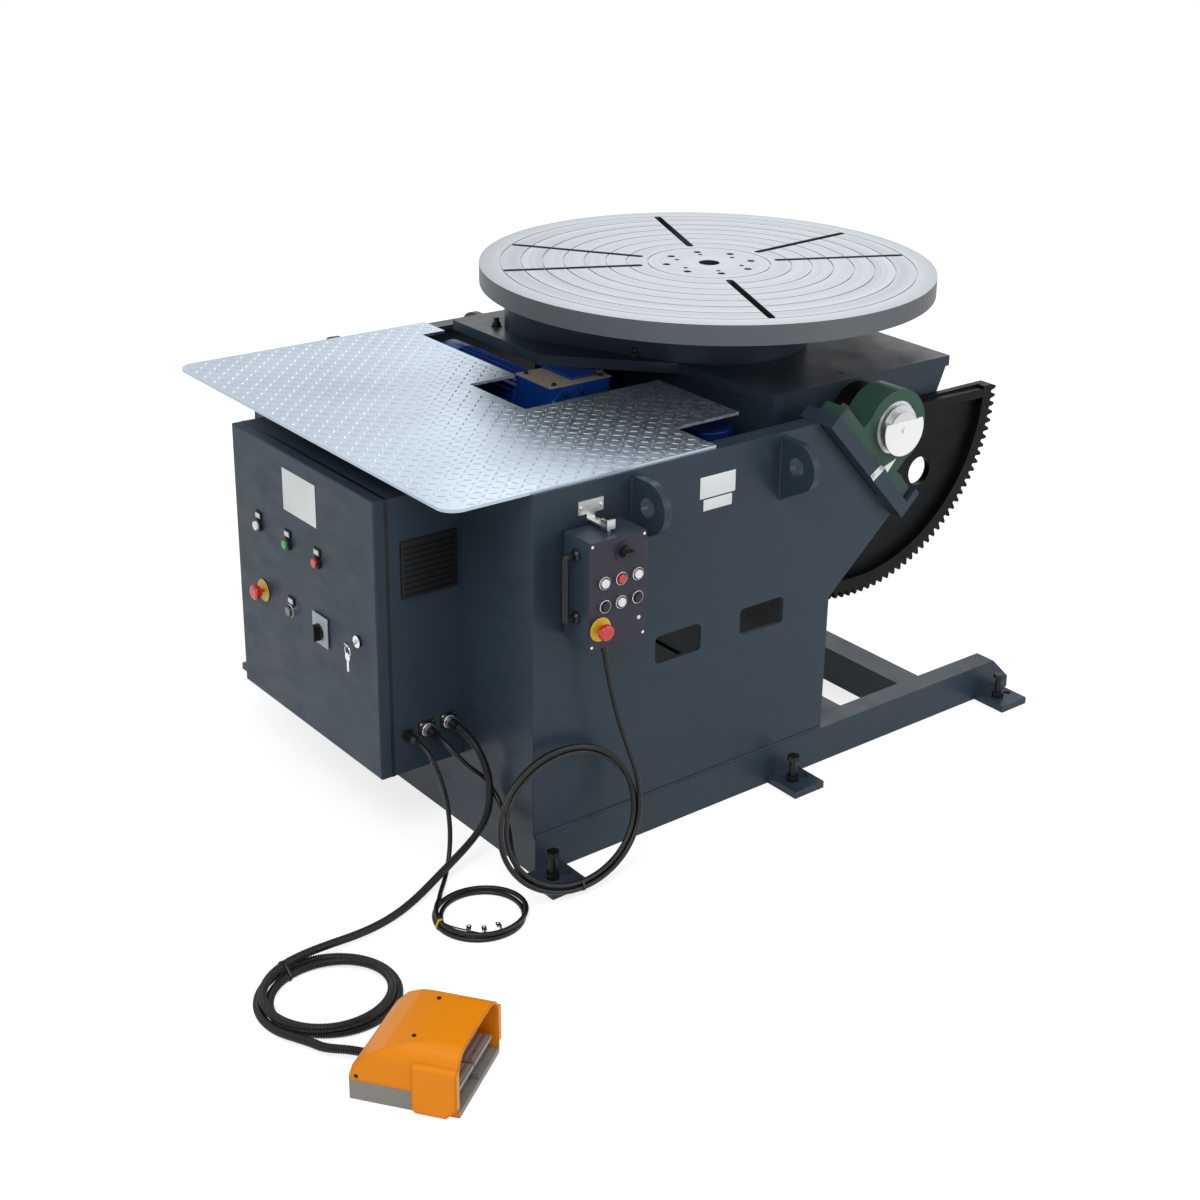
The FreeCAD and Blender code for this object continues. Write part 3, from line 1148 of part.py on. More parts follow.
def pedal_guard():
    """Hood that sits on the base, with thick wings that reach down beside the treads."""
    half_w = PEDAL_WIDTH / 2
    half_l = PEDAL_LENGTH / 2
    wall = PEDAL_GUARD_WALL
    wing_end = PEDAL_WING_LENGTH - half_l
    outer = half_w + wall
    hood = guard_form(outer, 0).cut(guard_form(half_w, wall))
    hood = hood.cut(box((-outer, outer), (wing_end, half_l), (0, PEDAL_BLOCK_HEIGHT)))
    hood = hood.cut(box((-outer, outer), (-half_l, wing_end), (0, PEDAL_WING_LOW)))
    bevel = PEDAL_WING_BEVEL
    outline = (
        (bevel - half_l, PEDAL_WING_LOW), (wing_end - bevel / 3, PEDAL_WING_LOW),
        (wing_end, PEDAL_WING_LOW + bevel / 3),
        (wing_end, PEDAL_WING_HIGH), (-half_l, PEDAL_WING_HIGH), (-half_l, PEDAL_WING_LOW + bevel),
    )
    thick = PEDAL_WING_OUT
    wing = prism([V(half_w, py, pz) for py, pz in outline], X_AXIS * (wall + thick))
    top_edges = [e for e in wing.Edges if is_along(e, Y_AXIS) and e.CenterOfMass.z > PEDAL_WING_HIGH - 1]
    wing = wing.makeFillet(0.8 * thick, [e for e in top_edges if e.CenterOfMass.x > outer])
    return on_pedal_floor(fused(hood, wing, wing.mirror(V(0, 0, 0), X_AXIS)))


def pedal_pin():
    half_w = PEDAL_WIDTH / 2
    return on_pedal_floor(rod(V(-half_w, PEDAL_PIN_Y, PEDAL_PIN_Z), PEDAL_PIN_R, PEDAL_WIDTH, X_AXIS))


def pedal(side):
    """One ribbed tread on the pin; side is -1 for the left and 1 for the right."""
    half_w = PEDAL_WIDTH / 2
    inner = PEDAL_GAP / 2
    outer = half_w - 10
    x = (inner, outer) if side > 0 else (-outer, -inner)
    front = -PEDAL_LENGTH / 2 + 12
    top_front = PEDAL_PIN_Z + PEDAL_PLATE_THICK + 12
    profile = (
        (front, top_front - PEDAL_PLATE_THICK), (front, top_front), (PEDAL_PIN_Y + 4, PEDAL_PIN_Z + 9),
        (PEDAL_PIN_Y + 4, PEDAL_PIN_Z - 7), (PEDAL_PIN_Y - 10, PEDAL_PIN_Z - 7),
        (PEDAL_PIN_Y - 14, PEDAL_PIN_Z),
    )
    tread = prism([V(x[0], py, pz) for py, pz in profile], X_AXIS * (x[1] - x[0]))
    slope = math.atan2(PEDAL_PIN_Z + 9 - top_front, PEDAL_PIN_Y + 4 - front)
    ribs = []
    for k in range(9):
        y = front + 6 + k * 14
        z = top_front + (y - front) * math.tan(slope)
        ribs.append(box((x[0] + 4, x[1] - 4), (y, y + 6), (z - 4, z + 2.5)))
    tread = fused(tread, *ribs)
    bore = rod(V(x[0], PEDAL_PIN_Y, PEDAL_PIN_Z), PEDAL_PIN_R + RUNNING_GAP, x[1] - x[0], X_AXIS)
    return on_pedal_floor(tread.cut(bore))


# ---------------------------------------------------------------- cables
PENDANT_ROUTE_A = (
    (-705, -740, 632), (-705, -740, 590), (-696, -748, 520), (-683, -755, 450), (-666, -762, 380),
    (-643, -767, 310), (-620, -768, 245), (-610, -766, 190),
)
PENDANT_ROUTE_B = (
    (-978, -400, 316), (-978, -428, 316), (-975.5, -454, 308.5), (-968.5, -475, 294), (-956, -490, 274),
    (-939, -499, 251), (-918, -504, 229), (-897, -510, 207), (-886, -519, 184.5), (-881.5, -535, 164.5),
    (-883, -556.5, 149.5), (-890, -580.5, 141), (-902, -608, 138.5), (-917, -637, 139),
    (-933, -666, 142), (-949, -693, 145), (-963, -716, 145), (-974, -737, 140), (-981.5, -757, 128.5),
    (-985, -774, 111), (-983.5, -787, 88),
)
CONDUIT_ROUTE = (
    (-915, -400, 319), (-915, -440, 319), (-912, -477, 306), (-907, -507, 279), (-902, -525, 243),
    (-899, -532, 203), (-900, -534, 162), (-908, -534, 123), (-927, -534, 90), (-958, -537, 65),
    (-999, -546, 47), (-1047, -560, 33), (-1099, -579, 22), (-1157, -604, 14.5), (-1221, -629, 12),
    (-1287, -648, 14), (-1354, -660, 20), (-1418, -666, 28), (-1470, -668, 31.5),
)
CONDUIT_TAIL = (
    (-1633, -945, 18), (-1624, -978, 20), (-1606, -1006, 24), (-1583.5, -1031.5, 26),
    (-1563.8, -1059.7, 26),
)
POWER_ROUTE = (
    (-1032, -400, 315), (-1032, -427, 315), (-1030, -452, 306), (-1026, -472, 288),
    (-1020.5, -485, 263), (-1013, -491, 232), (-1005, -493, 198), (-998, -493, 163), (-994, -493, 128),
    (-993, -495, 95), (-997, -501, 65), (-1006, -511, 39), (-1020, -526, 20), (-1039, -547, 9.5),
    (-1061, -572, 7), (-1084, -598, 9.5), (-1105, -623, 14), (-1124, -648, 17.6),
)
CONDUIT_COIL = (-1520, -822, 182, 58, 42)
POWER_COIL = (-1068, -746, 125, 34, 26)
PENDANT_COIL_CENTRE = V(-816, -760, 181)
PENDANT_COIL_AXES = (222, 185)
PENDANT_COIL_BAND = 32
PENDANT_COIL_THICK = 30
PENDANT_COIL_SLOPE = 0.33
CRIMP_LUGS = ((-145, 16), (-118, 0), (-91, -16))


def tube(points, diameter):
    """Round tube along straight runs joined by the largest tangent arcs they allow."""
    corners = [V(*point) for point in points]
    edges = []
    start = corners[0]
    radii = []
    for before, corner, after in zip(corners, corners[1:], corners[2:]):
        run_in = corner - before
        run_out = after - corner
        trim = 0.45 * min(run_in.Length, run_out.Length)
        unit_in = V(run_in).normalize()
        unit_out = V(run_out).normalize()
        turn = math.acos(max(-1.0, min(1.0, unit_in.dot(unit_out))))
        radius = trim / math.tan(turn / 2)
        radii.append(radius)
        arc_start = corner - unit_in * trim
        arc_end = corner + unit_out * trim
        bisector = (unit_out - unit_in).normalize()
        centre = corner + bisector * (radius / math.cos(turn / 2))
        middle = centre - bisector * radius
        edges.append(Part.LineSegment(start, arc_start).toShape())
        edges.append(Part.Arc(arc_start, middle, arc_end).toShape())
        start = arc_end
    edges.append(Part.LineSegment(start, corners[-1]).toShape())
    path = Part.Wire(edges)
    first = V(corners[1] - corners[0]).normalize()
    section = Part.Wire([Part.makeCircle(diameter / 2, corners[0], first)])
    solid = path.makePipeShell([section], True, False, 2)
    expected = math.pi * diameter ** 2 / 4 * path.Length
    print("tube: length %.0f, least radius %.0f, volume ratio %.4f" % (
        path.Length, min(radii), solid.Volume / expected))
    print("  radii", [round(r) for r in radii])
    return solid


def floor_coil(coil):
    """Closed ring that a coil lying on the floor fills: centre, outer radius, band, height."""
    x, y, outer, band, height = coil
    solid = ring(V(x, y, 0), outer, outer - band, height)
    top_edges = [e for e in solid.Edges if len(e.Vertexes) == 1 and e.CenterOfMass.z > 1]
    return solid.makeFillet(0.3 * band, top_edges)


def pendant_coil():
    """Oval ring of cable that stands on the floor and leans on the body."""
    wide, tall = PENDANT_COIL_AXES
    lean = V(0, PENDANT_COIL_SLOPE, 1).normalize()
    facing = X_AXIS.cross(lean)
    start = PENDANT_COIL_CENTRE - facing * (PENDANT_COIL_THICK / 2)

    def disc(a, b):
        oval = Part.Ellipse(start + X_AXIS * a, start + lean * b, start)
        return Part.Face(Part.Wire([oval.toShape()])).extrude(facing * PENDANT_COIL_THICK)

    return disc(wide, tall).cut(disc(wide - PENDANT_COIL_BAND, tall - PENDANT_COIL_BAND))


def cable_ends():
    """Plugs in the two sockets, and the crimp lugs on the power cable's cores."""
    side = CABINET_Y[0] - SOCKET_OUT
    pieces = []
    for spot in (SOCKET_1, SOCKET_2):
        start = V(spot[0], side, spot[1])
        body = rod(start, SOCKET_R, 14, -Y_AXIS)
        tail = rod(start - Y_AXIS * 14, SOCKET_R - 3, PLUG_OUT - SOCKET_OUT - 14, -Y_AXIS)
        pieces.append(fused(body, tail))
    centre_x, centre_y, outer, band, height = POWER_COIL
    for bearing, fan in CRIMP_LUGS:
        barrel = rod(V(0, 0, 4), 4, 22, X_AXIS)
        blade = box((20, 36), (-6, 6), (2.5, 5.5))
        lug = fused(barrel, blade, rod(V(36, 0, 2.5), 6, 3))
        lug = lug.cut(rod(V(36, 0, 2), 2.7, 4))
        lug.rotate(V(0, 0, 0), Z_AXIS, bearing + 180 + fan)
        at = math.radians(bearing)
        inner = outer - band - 1
        lug.translate(V(centre_x + inner * math.cos(at), centre_y + inner * math.sin(at), 0))
        pieces.append(lug)
    return Part.makeCompound(pieces)


# ---------------------------------------------------------------- the whole product
def all_nodes():
    nodes = {
        "base_frame": base_frame(),
        "hex_bolts": hex_bolts(),
        "side_plates": side_plates(),
        "body_walls": body_walls(),
        "support_plates": support_plates(),
        "lifting_lugs": lifting_lugs(),
        "deck_plate": deck_plate(),
        "bearing_housings": bearing_housings(),
        "bearing_inner_rings": bearing_inner_rings(),
        "trunnion_shafts": trunnion_shafts(),
        "angle_dial": angle_dial(),
        "angle_pointer": angle_pointer(),
        "gear_sector": gear_sector(),
        "tilt_pinion": tilt_pinion(),
        "tilt_gearbox": tilt_gearbox(),
        "tilt_motor": tilt_motor(),
        "head_frame": head_frame(),
        "slewing_inner_ring": slewing_inner_ring(),
        "slewing_gear_ring": slewing_gear_ring(),
        "rotation_pinion": rotation_pinion(),
        "rotation_gearbox": rotation_gearbox(),
        "rotation_motor": rotation_motor(),
        "ring_guard": ring_guard(),
        "turntable": turntable(),
        "cabinet_body": cabinet_body(),
        "cabinet_door": cabinet_door(),
        "cabinet_fittings": cabinet_fittings(),
        "control_gear": control_gear(),
        "door_bezels": door_bezels(),
        "isolator_knob": isolator_knob(),
        "door_key": door_key(),
        "door_estop": on_door(mushroom_button(DOOR_STROKE, BUTTON_STEM_R), DOOR_ESTOP_AT),
        "pendant_box": pendant_box(),
        "pendant_panel": pendant_panel(),
        "pendant_handles": pendant_handles(),
        "pendant_bracket": pendant_bracket(),
        "pendant_knob": on_pendant(rotary_knob(16, 20, BUTTON_STEM_R), PENDANT_KNOB_AT),
        "pendant_estop": on_pendant(mushroom_button(PENDANT_STROKE, BUTTON_STEM_R), PENDANT_ESTOP_AT),
        "pedal_base": pedal_base(),
        "pedal_guard": pedal_guard(),
        "pedal_pin": pedal_pin(),
        "pedal_left": pedal(-1),
        "pedal_right": pedal(1),
        "foot_conduit": Part.makeCompound([tube(CONDUIT_ROUTE, CONDUIT_D), tube(CONDUIT_TAIL, CONDUIT_D)]),
        "foot_coil": floor_coil(CONDUIT_COIL),
        "power_cable": tube(POWER_ROUTE, POWER_CABLE_D),
        "power_coil": floor_coil(POWER_COIL),
        "pendant_cable": Part.makeCompound([
            tube(PENDANT_ROUTE_A, PENDANT_CABLE_D), tube(PENDANT_ROUTE_B, PENDANT_CABLE_D)]),
        "pendant_coil": pendant_coil(),
        "cable_ends": cable_ends(),
    }
    for name, spot in DOOR_BUTTONS.items():
        nodes[name] = on_door(push_button(DOOR_CAP_R, BEZEL_RIM, DOOR_STROKE, BUTTON_STEM_R), spot)
    for number, spot in enumerate(PENDANT_BUTTONS, start=1):
        cap = push_button(PENDANT_CAP_R, BEZEL_RIM, PENDANT_STROKE, BUTTON_STEM_R)
        nodes["pendant_button_%d" % number] = on_pendant(cap, spot)
    return nodes


os.makedirs("parts", exist_ok=True)
for node_name, node_shape in all_nodes().items():
    print(node_name, node_shape.isValid(), len(node_shape.Solids))
    node_shape.exportStep("parts/%s.step" % node_name)
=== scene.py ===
"""Looks of the welding positioner: finishes, cables, tread pattern and small fittings."""
import math
import random

import bmesh
import bpy
import numpy as np
from mathutils import Matrix, Vector


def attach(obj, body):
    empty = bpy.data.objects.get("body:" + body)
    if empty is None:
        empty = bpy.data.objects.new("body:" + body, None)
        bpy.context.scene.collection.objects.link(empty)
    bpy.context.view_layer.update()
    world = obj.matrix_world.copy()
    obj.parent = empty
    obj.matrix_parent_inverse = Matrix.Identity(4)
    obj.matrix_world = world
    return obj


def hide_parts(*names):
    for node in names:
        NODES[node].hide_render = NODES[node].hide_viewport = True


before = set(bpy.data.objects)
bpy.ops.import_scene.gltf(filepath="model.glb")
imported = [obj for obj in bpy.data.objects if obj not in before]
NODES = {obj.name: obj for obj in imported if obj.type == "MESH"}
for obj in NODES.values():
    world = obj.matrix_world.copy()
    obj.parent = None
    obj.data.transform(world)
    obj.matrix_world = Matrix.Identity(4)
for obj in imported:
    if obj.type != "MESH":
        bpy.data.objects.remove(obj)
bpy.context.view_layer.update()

MM = 0.001

# ------------------------------------------------------------------ shader helpers
NOISE_ROUGHNESS = 0.55


class Shader:
    """A node material with a Principled surface, built step by step."""

    def __init__(self, name, colour, rough, metal=0.0, **sockets):
        self.material = bpy.data.materials.new(name)
        self.material.use_nodes = True
        self.tree = self.material.node_tree
        self.surface = self.tree.nodes["Principled BSDF"]
        self.put("Base Color", (*colour, 1.0))
        self.put("Roughness", rough)
        self.put("Metallic", metal)
        for socket, value in sockets.items():
            self.put(socket.replace("_", " "), value)
        self.coords = None
        self.height = None

    def put(self, socket, value):
        self.surface.inputs[socket].default_value = value

    def node(self, kind, **settings):
        made = self.tree.nodes.new(kind)
        for key, value in settings.items():
            setattr(made, key, value)
        return made

    def link(self, source, target):
        self.tree.links.new(source, target)

    def position(self, scale):
        """Object-space position, stretched."""
        coords = self.node("ShaderNodeTexCoord")
        mapping = self.node("ShaderNodeMapping")
        mapping.inputs["Scale"].default_value = scale
        self.link(coords.outputs["Object"], mapping.inputs["Vector"])
        return mapping.outputs["Vector"]

    def noise(self, scale, detail, stretch=(1, 1, 1)):
        texture = self.node("ShaderNodeTexNoise")
        texture.inputs["Scale"].default_value = scale
        texture.inputs["Detail"].default_value = detail
        texture.inputs["Roughness"].default_value = NOISE_ROUGHNESS
        self.link(self.position(stretch), texture.inputs["Vector"])
        return texture.outputs["Fac"]

    def ramp(self, source, low, high, low_colour, high_colour):
        ramp = self.node("ShaderNodeValToRGB")
        ends = ramp.color_ramp.elements
        ends[0].position = low
        ends[1].position = high
        ends[0].color = (*low_colour, 1.0)
        ends[1].color = (*high_colour, 1.0)
        self.link(source, ramp.inputs["Fac"])
        return ramp.outputs["Color"]

    def grade(self, source, low, high, out_low, out_high):
        """A number mapped from one range to another."""
        span = self.node("ShaderNodeMapRange")
        span.inputs["From Min"].default_value = low
        span.inputs["From Max"].default_value = high
        span.inputs["To Min"].default_value = out_low
        span.inputs["To Max"].default_value = out_high
        self.link(source, span.inputs["Value"])
        return span.outputs["Result"]

    def colour(self, source):
        self.link(source, self.surface.inputs["Base Color"])
        return self

    def roughness(self, source):
        self.link(source, self.surface.inputs["Roughness"])
        return self

    def bump(self, source, strength, distance):
        bump = self.node("ShaderNodeBump")
        bump.inputs["Strength"].default_value = strength
        bump.inputs["Distance"].default_value = distance
        self.link(source, bump.inputs["Height"])
        if self.height is not None:
            self.link(self.height, bump.inputs["Normal"])
        self.height = bump.outputs["Normal"]
        self.link(self.height, self.surface.inputs["Normal"])
        return self


def shade(colour, factor):
    return tuple(min(1.0, c * factor) for c in colour)


def enamel(name, colour, rough=0.38, wear=0.10, orange_peel=0.12, soft_edge=0.0016, shine=0.2):
    """Sprayed machine enamel: faint cloudiness, dust in patches and an orange-peel skin."""
    paint = Shader(name, colour, rough, Specular_IOR_Level=shine)
    edges = paint.node("ShaderNodeBevel", samples=4)
    edges.inputs["Radius"].default_value = soft_edge
    paint.height = edges.outputs["Normal"]
    cloud = paint.noise(2.3, 5.0)
    paint.colour(paint.ramp(cloud, 0.3, 0.72, shade(colour, 1 - wear), shade(colour, 1 + wear)))
    smear = paint.noise(9.0, 6.0, stretch=(1, 1, 2.2))
    paint.roughness(paint.grade(smear, 0.35, 0.7, rough - 0.07, rough + 0.10))
    paint.bump(paint.noise(260.0, 2.0), orange_peel, 0.0006)
    paint.bump(paint.noise(22.0, 3.0), 0.06, 0.002)
    return paint.material


def bare_metal(name, colour, rough, grain=(1, 1, 1), scratch=0.12, bump=0.10):
    """Machined or plated metal with a directional grain."""
    metal = Shader(name, colour, rough, 1.0)
    grain_noise = metal.noise(90.0, 5.0, stretch=grain)
    metal.roughness(metal.grade(grain_noise, 0.3, 0.7, rough - scratch / 2, rough + scratch))
    tone = metal.noise(3.0, 4.0)
    metal.colour(metal.ramp(tone, 0.3, 0.75, shade(colour, 0.88), shade(colour, 1.05)))
    metal.bump(grain_noise, bump, 0.0004)
    return metal.material


def plastic(name, colour, rough=0.35, grain=0.15, **sockets):
    """Moulded plastic with a fine spark-eroded grain."""
    made = Shader(name, colour, rough, **sockets)
    grain_noise = made.noise(900.0, 2.0)
    made.bump(grain_noise, grain, 0.0002)
    tone = made.noise(14.0, 3.0)
    made.colour(made.ramp(tone, 0.3, 0.7, shade(colour, 0.93), shade(colour, 1.05)))
    return made.material


# Painted shade: how much darker the turned table's rim and lower faces are painted than its top.
RIM_PAINTED_SHADE = 0.34


def turned_face(name, colour, rough, centre):
    """A lathe-turned face: fine concentric tool marks about a vertical axis, with painted shade darkening the rim and
    every face that doesn't look up.
    """
    metal = Shader(name, colour, rough, 1.0)
    coords = metal.node("ShaderNodeTexCoord")
    shift = metal.node("ShaderNodeMapping")
    shift.inputs["Location"].default_value = (-centre[0], -centre[1], 0)
    metal.link(coords.outputs["Object"], shift.inputs["Vector"])
    flat = metal.node("ShaderNodeVectorMath", operation="MULTIPLY")
    flat.inputs[1].default_value = (1, 1, 0)
    metal.link(shift.outputs["Vector"], flat.inputs[0])
    radius = metal.node("ShaderNodeVectorMath", operation="LENGTH")
    metal.link(flat.outputs["Vector"], radius.inputs[0])
    marks = metal.node("ShaderNodeTexNoise", noise_dimensions="1D")
    marks.inputs["Scale"].default_value = 420.0
    marks.inputs["Detail"].default_value = 6.0
    metal.link(radius.outputs["Value"], marks.inputs["W"])
    bands = metal.node("ShaderNodeTexNoise", noise_dimensions="1D")
    bands.inputs["Scale"].default_value = 26.0
    bands.inputs["Detail"].default_value = 3.0
    metal.link(radius.outputs["Value"], bands.inputs["W"])
    split = metal.node("ShaderNodeSeparateXYZ")
    metal.link(coords.outputs["Normal"], split.inputs["Vector"])
    # Faces that don't look up get the painted shade colour; upward faces keep the turned rings.
    sides = metal.node("ShaderNodeMix", data_type="RGBA")
    metal.link(metal.grade(split.outputs["Z"], 0.2, 0.8, 0.0, 1.0), sides.inputs["Factor"])
    sides.inputs["A"].default_value = (*shade(colour, RIM_PAINTED_SHADE), 1)
    rings = metal.ramp(bands.outputs["Fac"], 0.3, 0.7, shade(colour, 0.88), shade(colour, 1.05))
    metal.link(rings, sides.inputs["B"])
    metal.colour(sides.outputs["Result"])
    metal.roughness(metal.grade(marks.outputs["Fac"], 0.3, 0.7, rough - 0.06, rough + 0.10))
    metal.bump(marks.outputs["Fac"], 0.25, 0.0004)
    return metal.material


def ribbed_conduit(name, colour):
    """The hose's sheath; its ribs are in the mesh."""
    made = Shader(name, colour, 0.42, Specular_IOR_Level=0.35)
    made.bump(made.noise(300.0, 2.0), 0.1, 0.0004)
    tone = made.noise(7.0, 3.0)
    made.colour(made.ramp(tone, 0.3, 0.7, shade(colour, 0.8), shade(colour, 1.5)))
    return made.material


BODY = (0.029, 0.045, 0.064)
TABLE_CENTRE = (0.219, 0.0)
MATERIALS = {
    "body": enamel("body_enamel", BODY, 0.36, 0.07),
    "cabinet": enamel("cabinet_enamel", shade(BODY, 1.06), 0.40, 0.05, 0.2),
    # The head's enamel is the body's colour darkened: painted shade, for the head frame and ring guard sit under the
    # table.
    "head": enamel("head_enamel_painted_shade", shade(BODY, 0.82), 0.36, 0.08),
    "black": enamel("black_enamel", (0.003, 0.0034, 0.004), 0.5, 0.25, shine=0.12),
    "green": enamel("green_enamel", (0.035, 0.085, 0.062), 0.34, 0.18, 0.35),
    "blue": enamel("blue_enamel", (0.004, 0.035, 0.19), 0.28, 0.15, 0.25),
    "blue_dark": enamel("blue_cowl", (0.003, 0.02, 0.12), 0.33, 0.15),
    "orange": enamel("orange_enamel", (0.98, 0.30, 0.004), 0.36, 0.03, 0.15, 0.012),
    "pedal_grey": enamel("grey_cast", (0.30, 0.29, 0.26), 0.5, 0.08, 0.4),
    "tan": enamel("primer_tan", (0.22, 0.19, 0.15), 0.55, 0.1),
    "table": turned_face("turned_table", (0.32, 0.345, 0.372), 0.44, TABLE_CENTRE),
    "steel": bare_metal("ground_steel", (0.56, 0.57, 0.58), 0.30),
    "bright": bare_metal("bright_plating", (0.80, 0.80, 0.82), 0.16),
    "galvanised": bare_metal("galvanised_sheet", (0.48, 0.56, 0.64), 0.38, (1, 1, 1), 0.14, 0.05),
    "zinc": bare_metal("zinc_plate", (0.62, 0.63, 0.63), 0.33),
    "scale": bare_metal("etched_scale", (0.72, 0.72, 0.70), 0.42, (6, 1, 1)),
    "label": plastic("blank_label", (0.78, 0.80, 0.81), 0.4, 0.05),
    "nameplate": bare_metal("blank_nameplate", (0.60, 0.62, 0.62), 0.44, (1, 8, 1)),
    "black_oxide": bare_metal("black_oxide", (0.035, 0.035, 0.037), 0.42),
    "plastic_black": plastic("black_plastic", (0.008, 0.008, 0.009), 0.36, Specular_IOR_Level=0.35),
    "plastic_grey": plastic("grey_plastic", (0.40, 0.43, 0.44), 0.38),
    "panel_film": plastic("panel_film", (0.026, 0.024, 0.040), 0.42, 0.3, Specular_IOR_Level=0.3),
    "yellow": plastic("yellow_plastic", (0.72, 0.46, 0.02), 0.38),
    "red": plastic("red_plastic", (0.62, 0.012, 0.012), 0.25, 0.05, Coat_Weight=0.4),
    "white": plastic("white_lens", (0.84, 0.85, 0.83), 0.22, 0.04, Coat_Weight=0.5),
    "green_lens": plastic("green_lens", (0.01, 0.28, 0.08), 0.2, 0.04, Coat_Weight=0.5),
    "green_dim": plastic("green_dim_lens", (0.01, 0.13, 0.075), 0.2, 0.04, Coat_Weight=0.5),
    "grey_tread": plastic("grey_tread", (0.34, 0.33, 0.32), 0.55, 0.35),
    "rubber": plastic("rubber_sheath", (0.006, 0.006, 0.007), 0.36, 0.1, Specular_IOR_Level=0.35),
    "conduit": ribbed_conduit("conduit_sheath", (0.008, 0.008, 0.009)),
    "core_white": plastic("core_white", (0.72, 0.72, 0.66), 0.45),
}

NODE_FINISH = {
    "base_frame": "body", "side_plates": "body", "body_walls": "body", "support_plates": "body",
    "lifting_lugs": "body", "hex_bolts": "black_oxide", "deck_plate": "galvanised",
    "cabinet_body": "cabinet", "cabinet_door": "cabinet", "cabinet_fittings": "plastic_black",
    "bearing_housings": "green", "bearing_inner_rings": "steel", "trunnion_shafts": "steel",
    "angle_dial": "scale", "angle_pointer": "zinc", "gear_sector": "black",
    "tilt_pinion": "steel", "rotation_pinion": "steel", "slewing_inner_ring": "steel",
    "slewing_gear_ring": "steel", "turntable": "table", "tilt_gearbox": "blue",
    "tilt_motor": "blue_dark", "rotation_gearbox": "blue", "rotation_motor": "blue",
    # head_frame and ring_guard take the head enamel, darkened as painted shade.
    "head_frame": "head", "ring_guard": "head", "door_bezels": "plastic_black",
    "isolator_knob": "plastic_black", "door_key": "bright", "button_white": "white",
    "button_green": "green_lens", "button_red": "red", "button_reset": "green_dim",
    "door_estop": "red", "pendant_box": "cabinet", "control_gear": "plastic_grey", "pendant_panel": "panel_film",
    "pendant_handles": "plastic_black", "pendant_bracket": "zinc", "pendant_knob": "plastic_black",
    "pendant_button_1": "white", "pendant_button_2": "red", "pendant_button_3": "white",
    "pendant_button_4": "plastic_black", "pendant_button_5": "white",
    "pendant_button_6": "plastic_black", "pendant_estop": "red", "pedal_base": "pedal_grey",
    "pedal_guard": "orange", "pedal_pin": "steel", "pedal_left": "grey_tread",
    "pedal_right": "grey_tread", "cable_ends": "bright", "power_cable": "rubber",
    "power_coil": "rubber", "foot_conduit": "conduit", "foot_coil": "conduit",
    "pendant_cable": "rubber", "pendant_coil": "rubber",
}


def finish_nodes():
    """Gives every CAD node its finish."""
    for name, node in NODES.items():
        node.data.materials.clear()
        node.data.materials.append(MATERIALS[NODE_FINISH[name]])


# ------------------------------------------------------------------ mesh helpers
SHARP_ANGLE = math.radians(35)


def add_object(name, mesh_data, finish, body):
    """One visible piece with its finish, riding on a body."""
    piece = bpy.data.objects.new(name, mesh_data)
    bpy.context.scene.collection.objects.link(piece)
    mesh_data.materials.append(MATERIALS[finish])
    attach(piece, body)
    return piece


class Build:
    """One bmesh that small shapes are added to, each placed by a matrix."""

    def __init__(self):
        self.mesh = bmesh.new()

    def box(self, centre, size, matrix=Matrix.Identity(4), bevel=0.0):
        """A block, with its edges rounded where a bevel is given."""
        verts = bmesh.ops.create_cube(self.mesh, size=1.0)["verts"]
        bmesh.ops.scale(self.mesh, vec=size, verts=verts)
        if bevel:
            edges = {e for v in verts for e in v.link_edges}
            beveled = bmesh.ops.bevel(self.mesh, geom=list(edges), offset=bevel, segments=2,
                                      affect="EDGES", profile=0.6)
            verts = list({v for f in beveled["faces"] for v in f.verts} | {v for v in verts if v.is_valid})
        bmesh.ops.translate(self.mesh, vec=centre, verts=verts)
        bmesh.ops.transform(self.mesh, matrix=matrix, verts=verts)
        return self

    def lathe(self, profile, matrix=Matrix.Identity(4), sides=24):
        """A closed (radius, height) profile turned about local Z."""
        rings = []
        for k in range(sides):
            a = 2 * math.pi * k / sides
            rings.append([self.mesh.verts.new(matrix @ Vector((r * math.cos(a), r * math.sin(a), h)))
                          for r, h in profile])
        count = len(profile)
        for k in range(sides):
            one, two = rings[k], rings[(k + 1) % sides]
            for i in range(count):
                j = (i + 1) % count
                self.mesh.faces.new((one[i], two[i], two[j], one[j]))
        return self

    def disc(self, radius, low, high, matrix=Matrix.Identity(4), sides=24, chamfer=0.0):
        """A solid round, with its top edge chamfered where a chamfer is given."""
        top = [(radius, high - chamfer), (radius - chamfer, high)] if chamfer else [(radius, high)]
        return self.stack([(radius, low), *top], matrix, sides)

    def stack(self, profile, matrix=Matrix.Identity(4), sides=24):
        """Circles of given radius and height, joined and closed at both ends."""
        angles = [2 * math.pi * k / sides for k in range(sides)]
        rings = [[self.mesh.verts.new(matrix @ Vector((r * math.cos(a), r * math.sin(a), h))) for a in angles]
                 for r, h in profile]
        for low, high in zip(rings, rings[1:]):
            for k in range(sides):
                j = (k + 1) % sides
                self.mesh.faces.new((low[k], low[j], high[j], high[k]))
        self.mesh.faces.new(list(reversed(rings[0])))
        self.mesh.faces.new(rings[-1])
        return self

    def finish(self, name, finish, body, slot=None):
        """Turns the shapes into one piece that rides on a body."""
        mesh_data = bpy.data.meshes.new(name)
        bmesh.ops.recalc_face_normals(self.mesh, faces=self.mesh.faces)
        self.mesh.to_mesh(mesh_data)
        self.mesh.free()
        piece = add_object(name, mesh_data, finish, body)
        for face in mesh_data.polygons:
            face.use_smooth = True
        mesh_data.set_sharp_from_angle(angle=SHARP_ANGLE)
        return piece


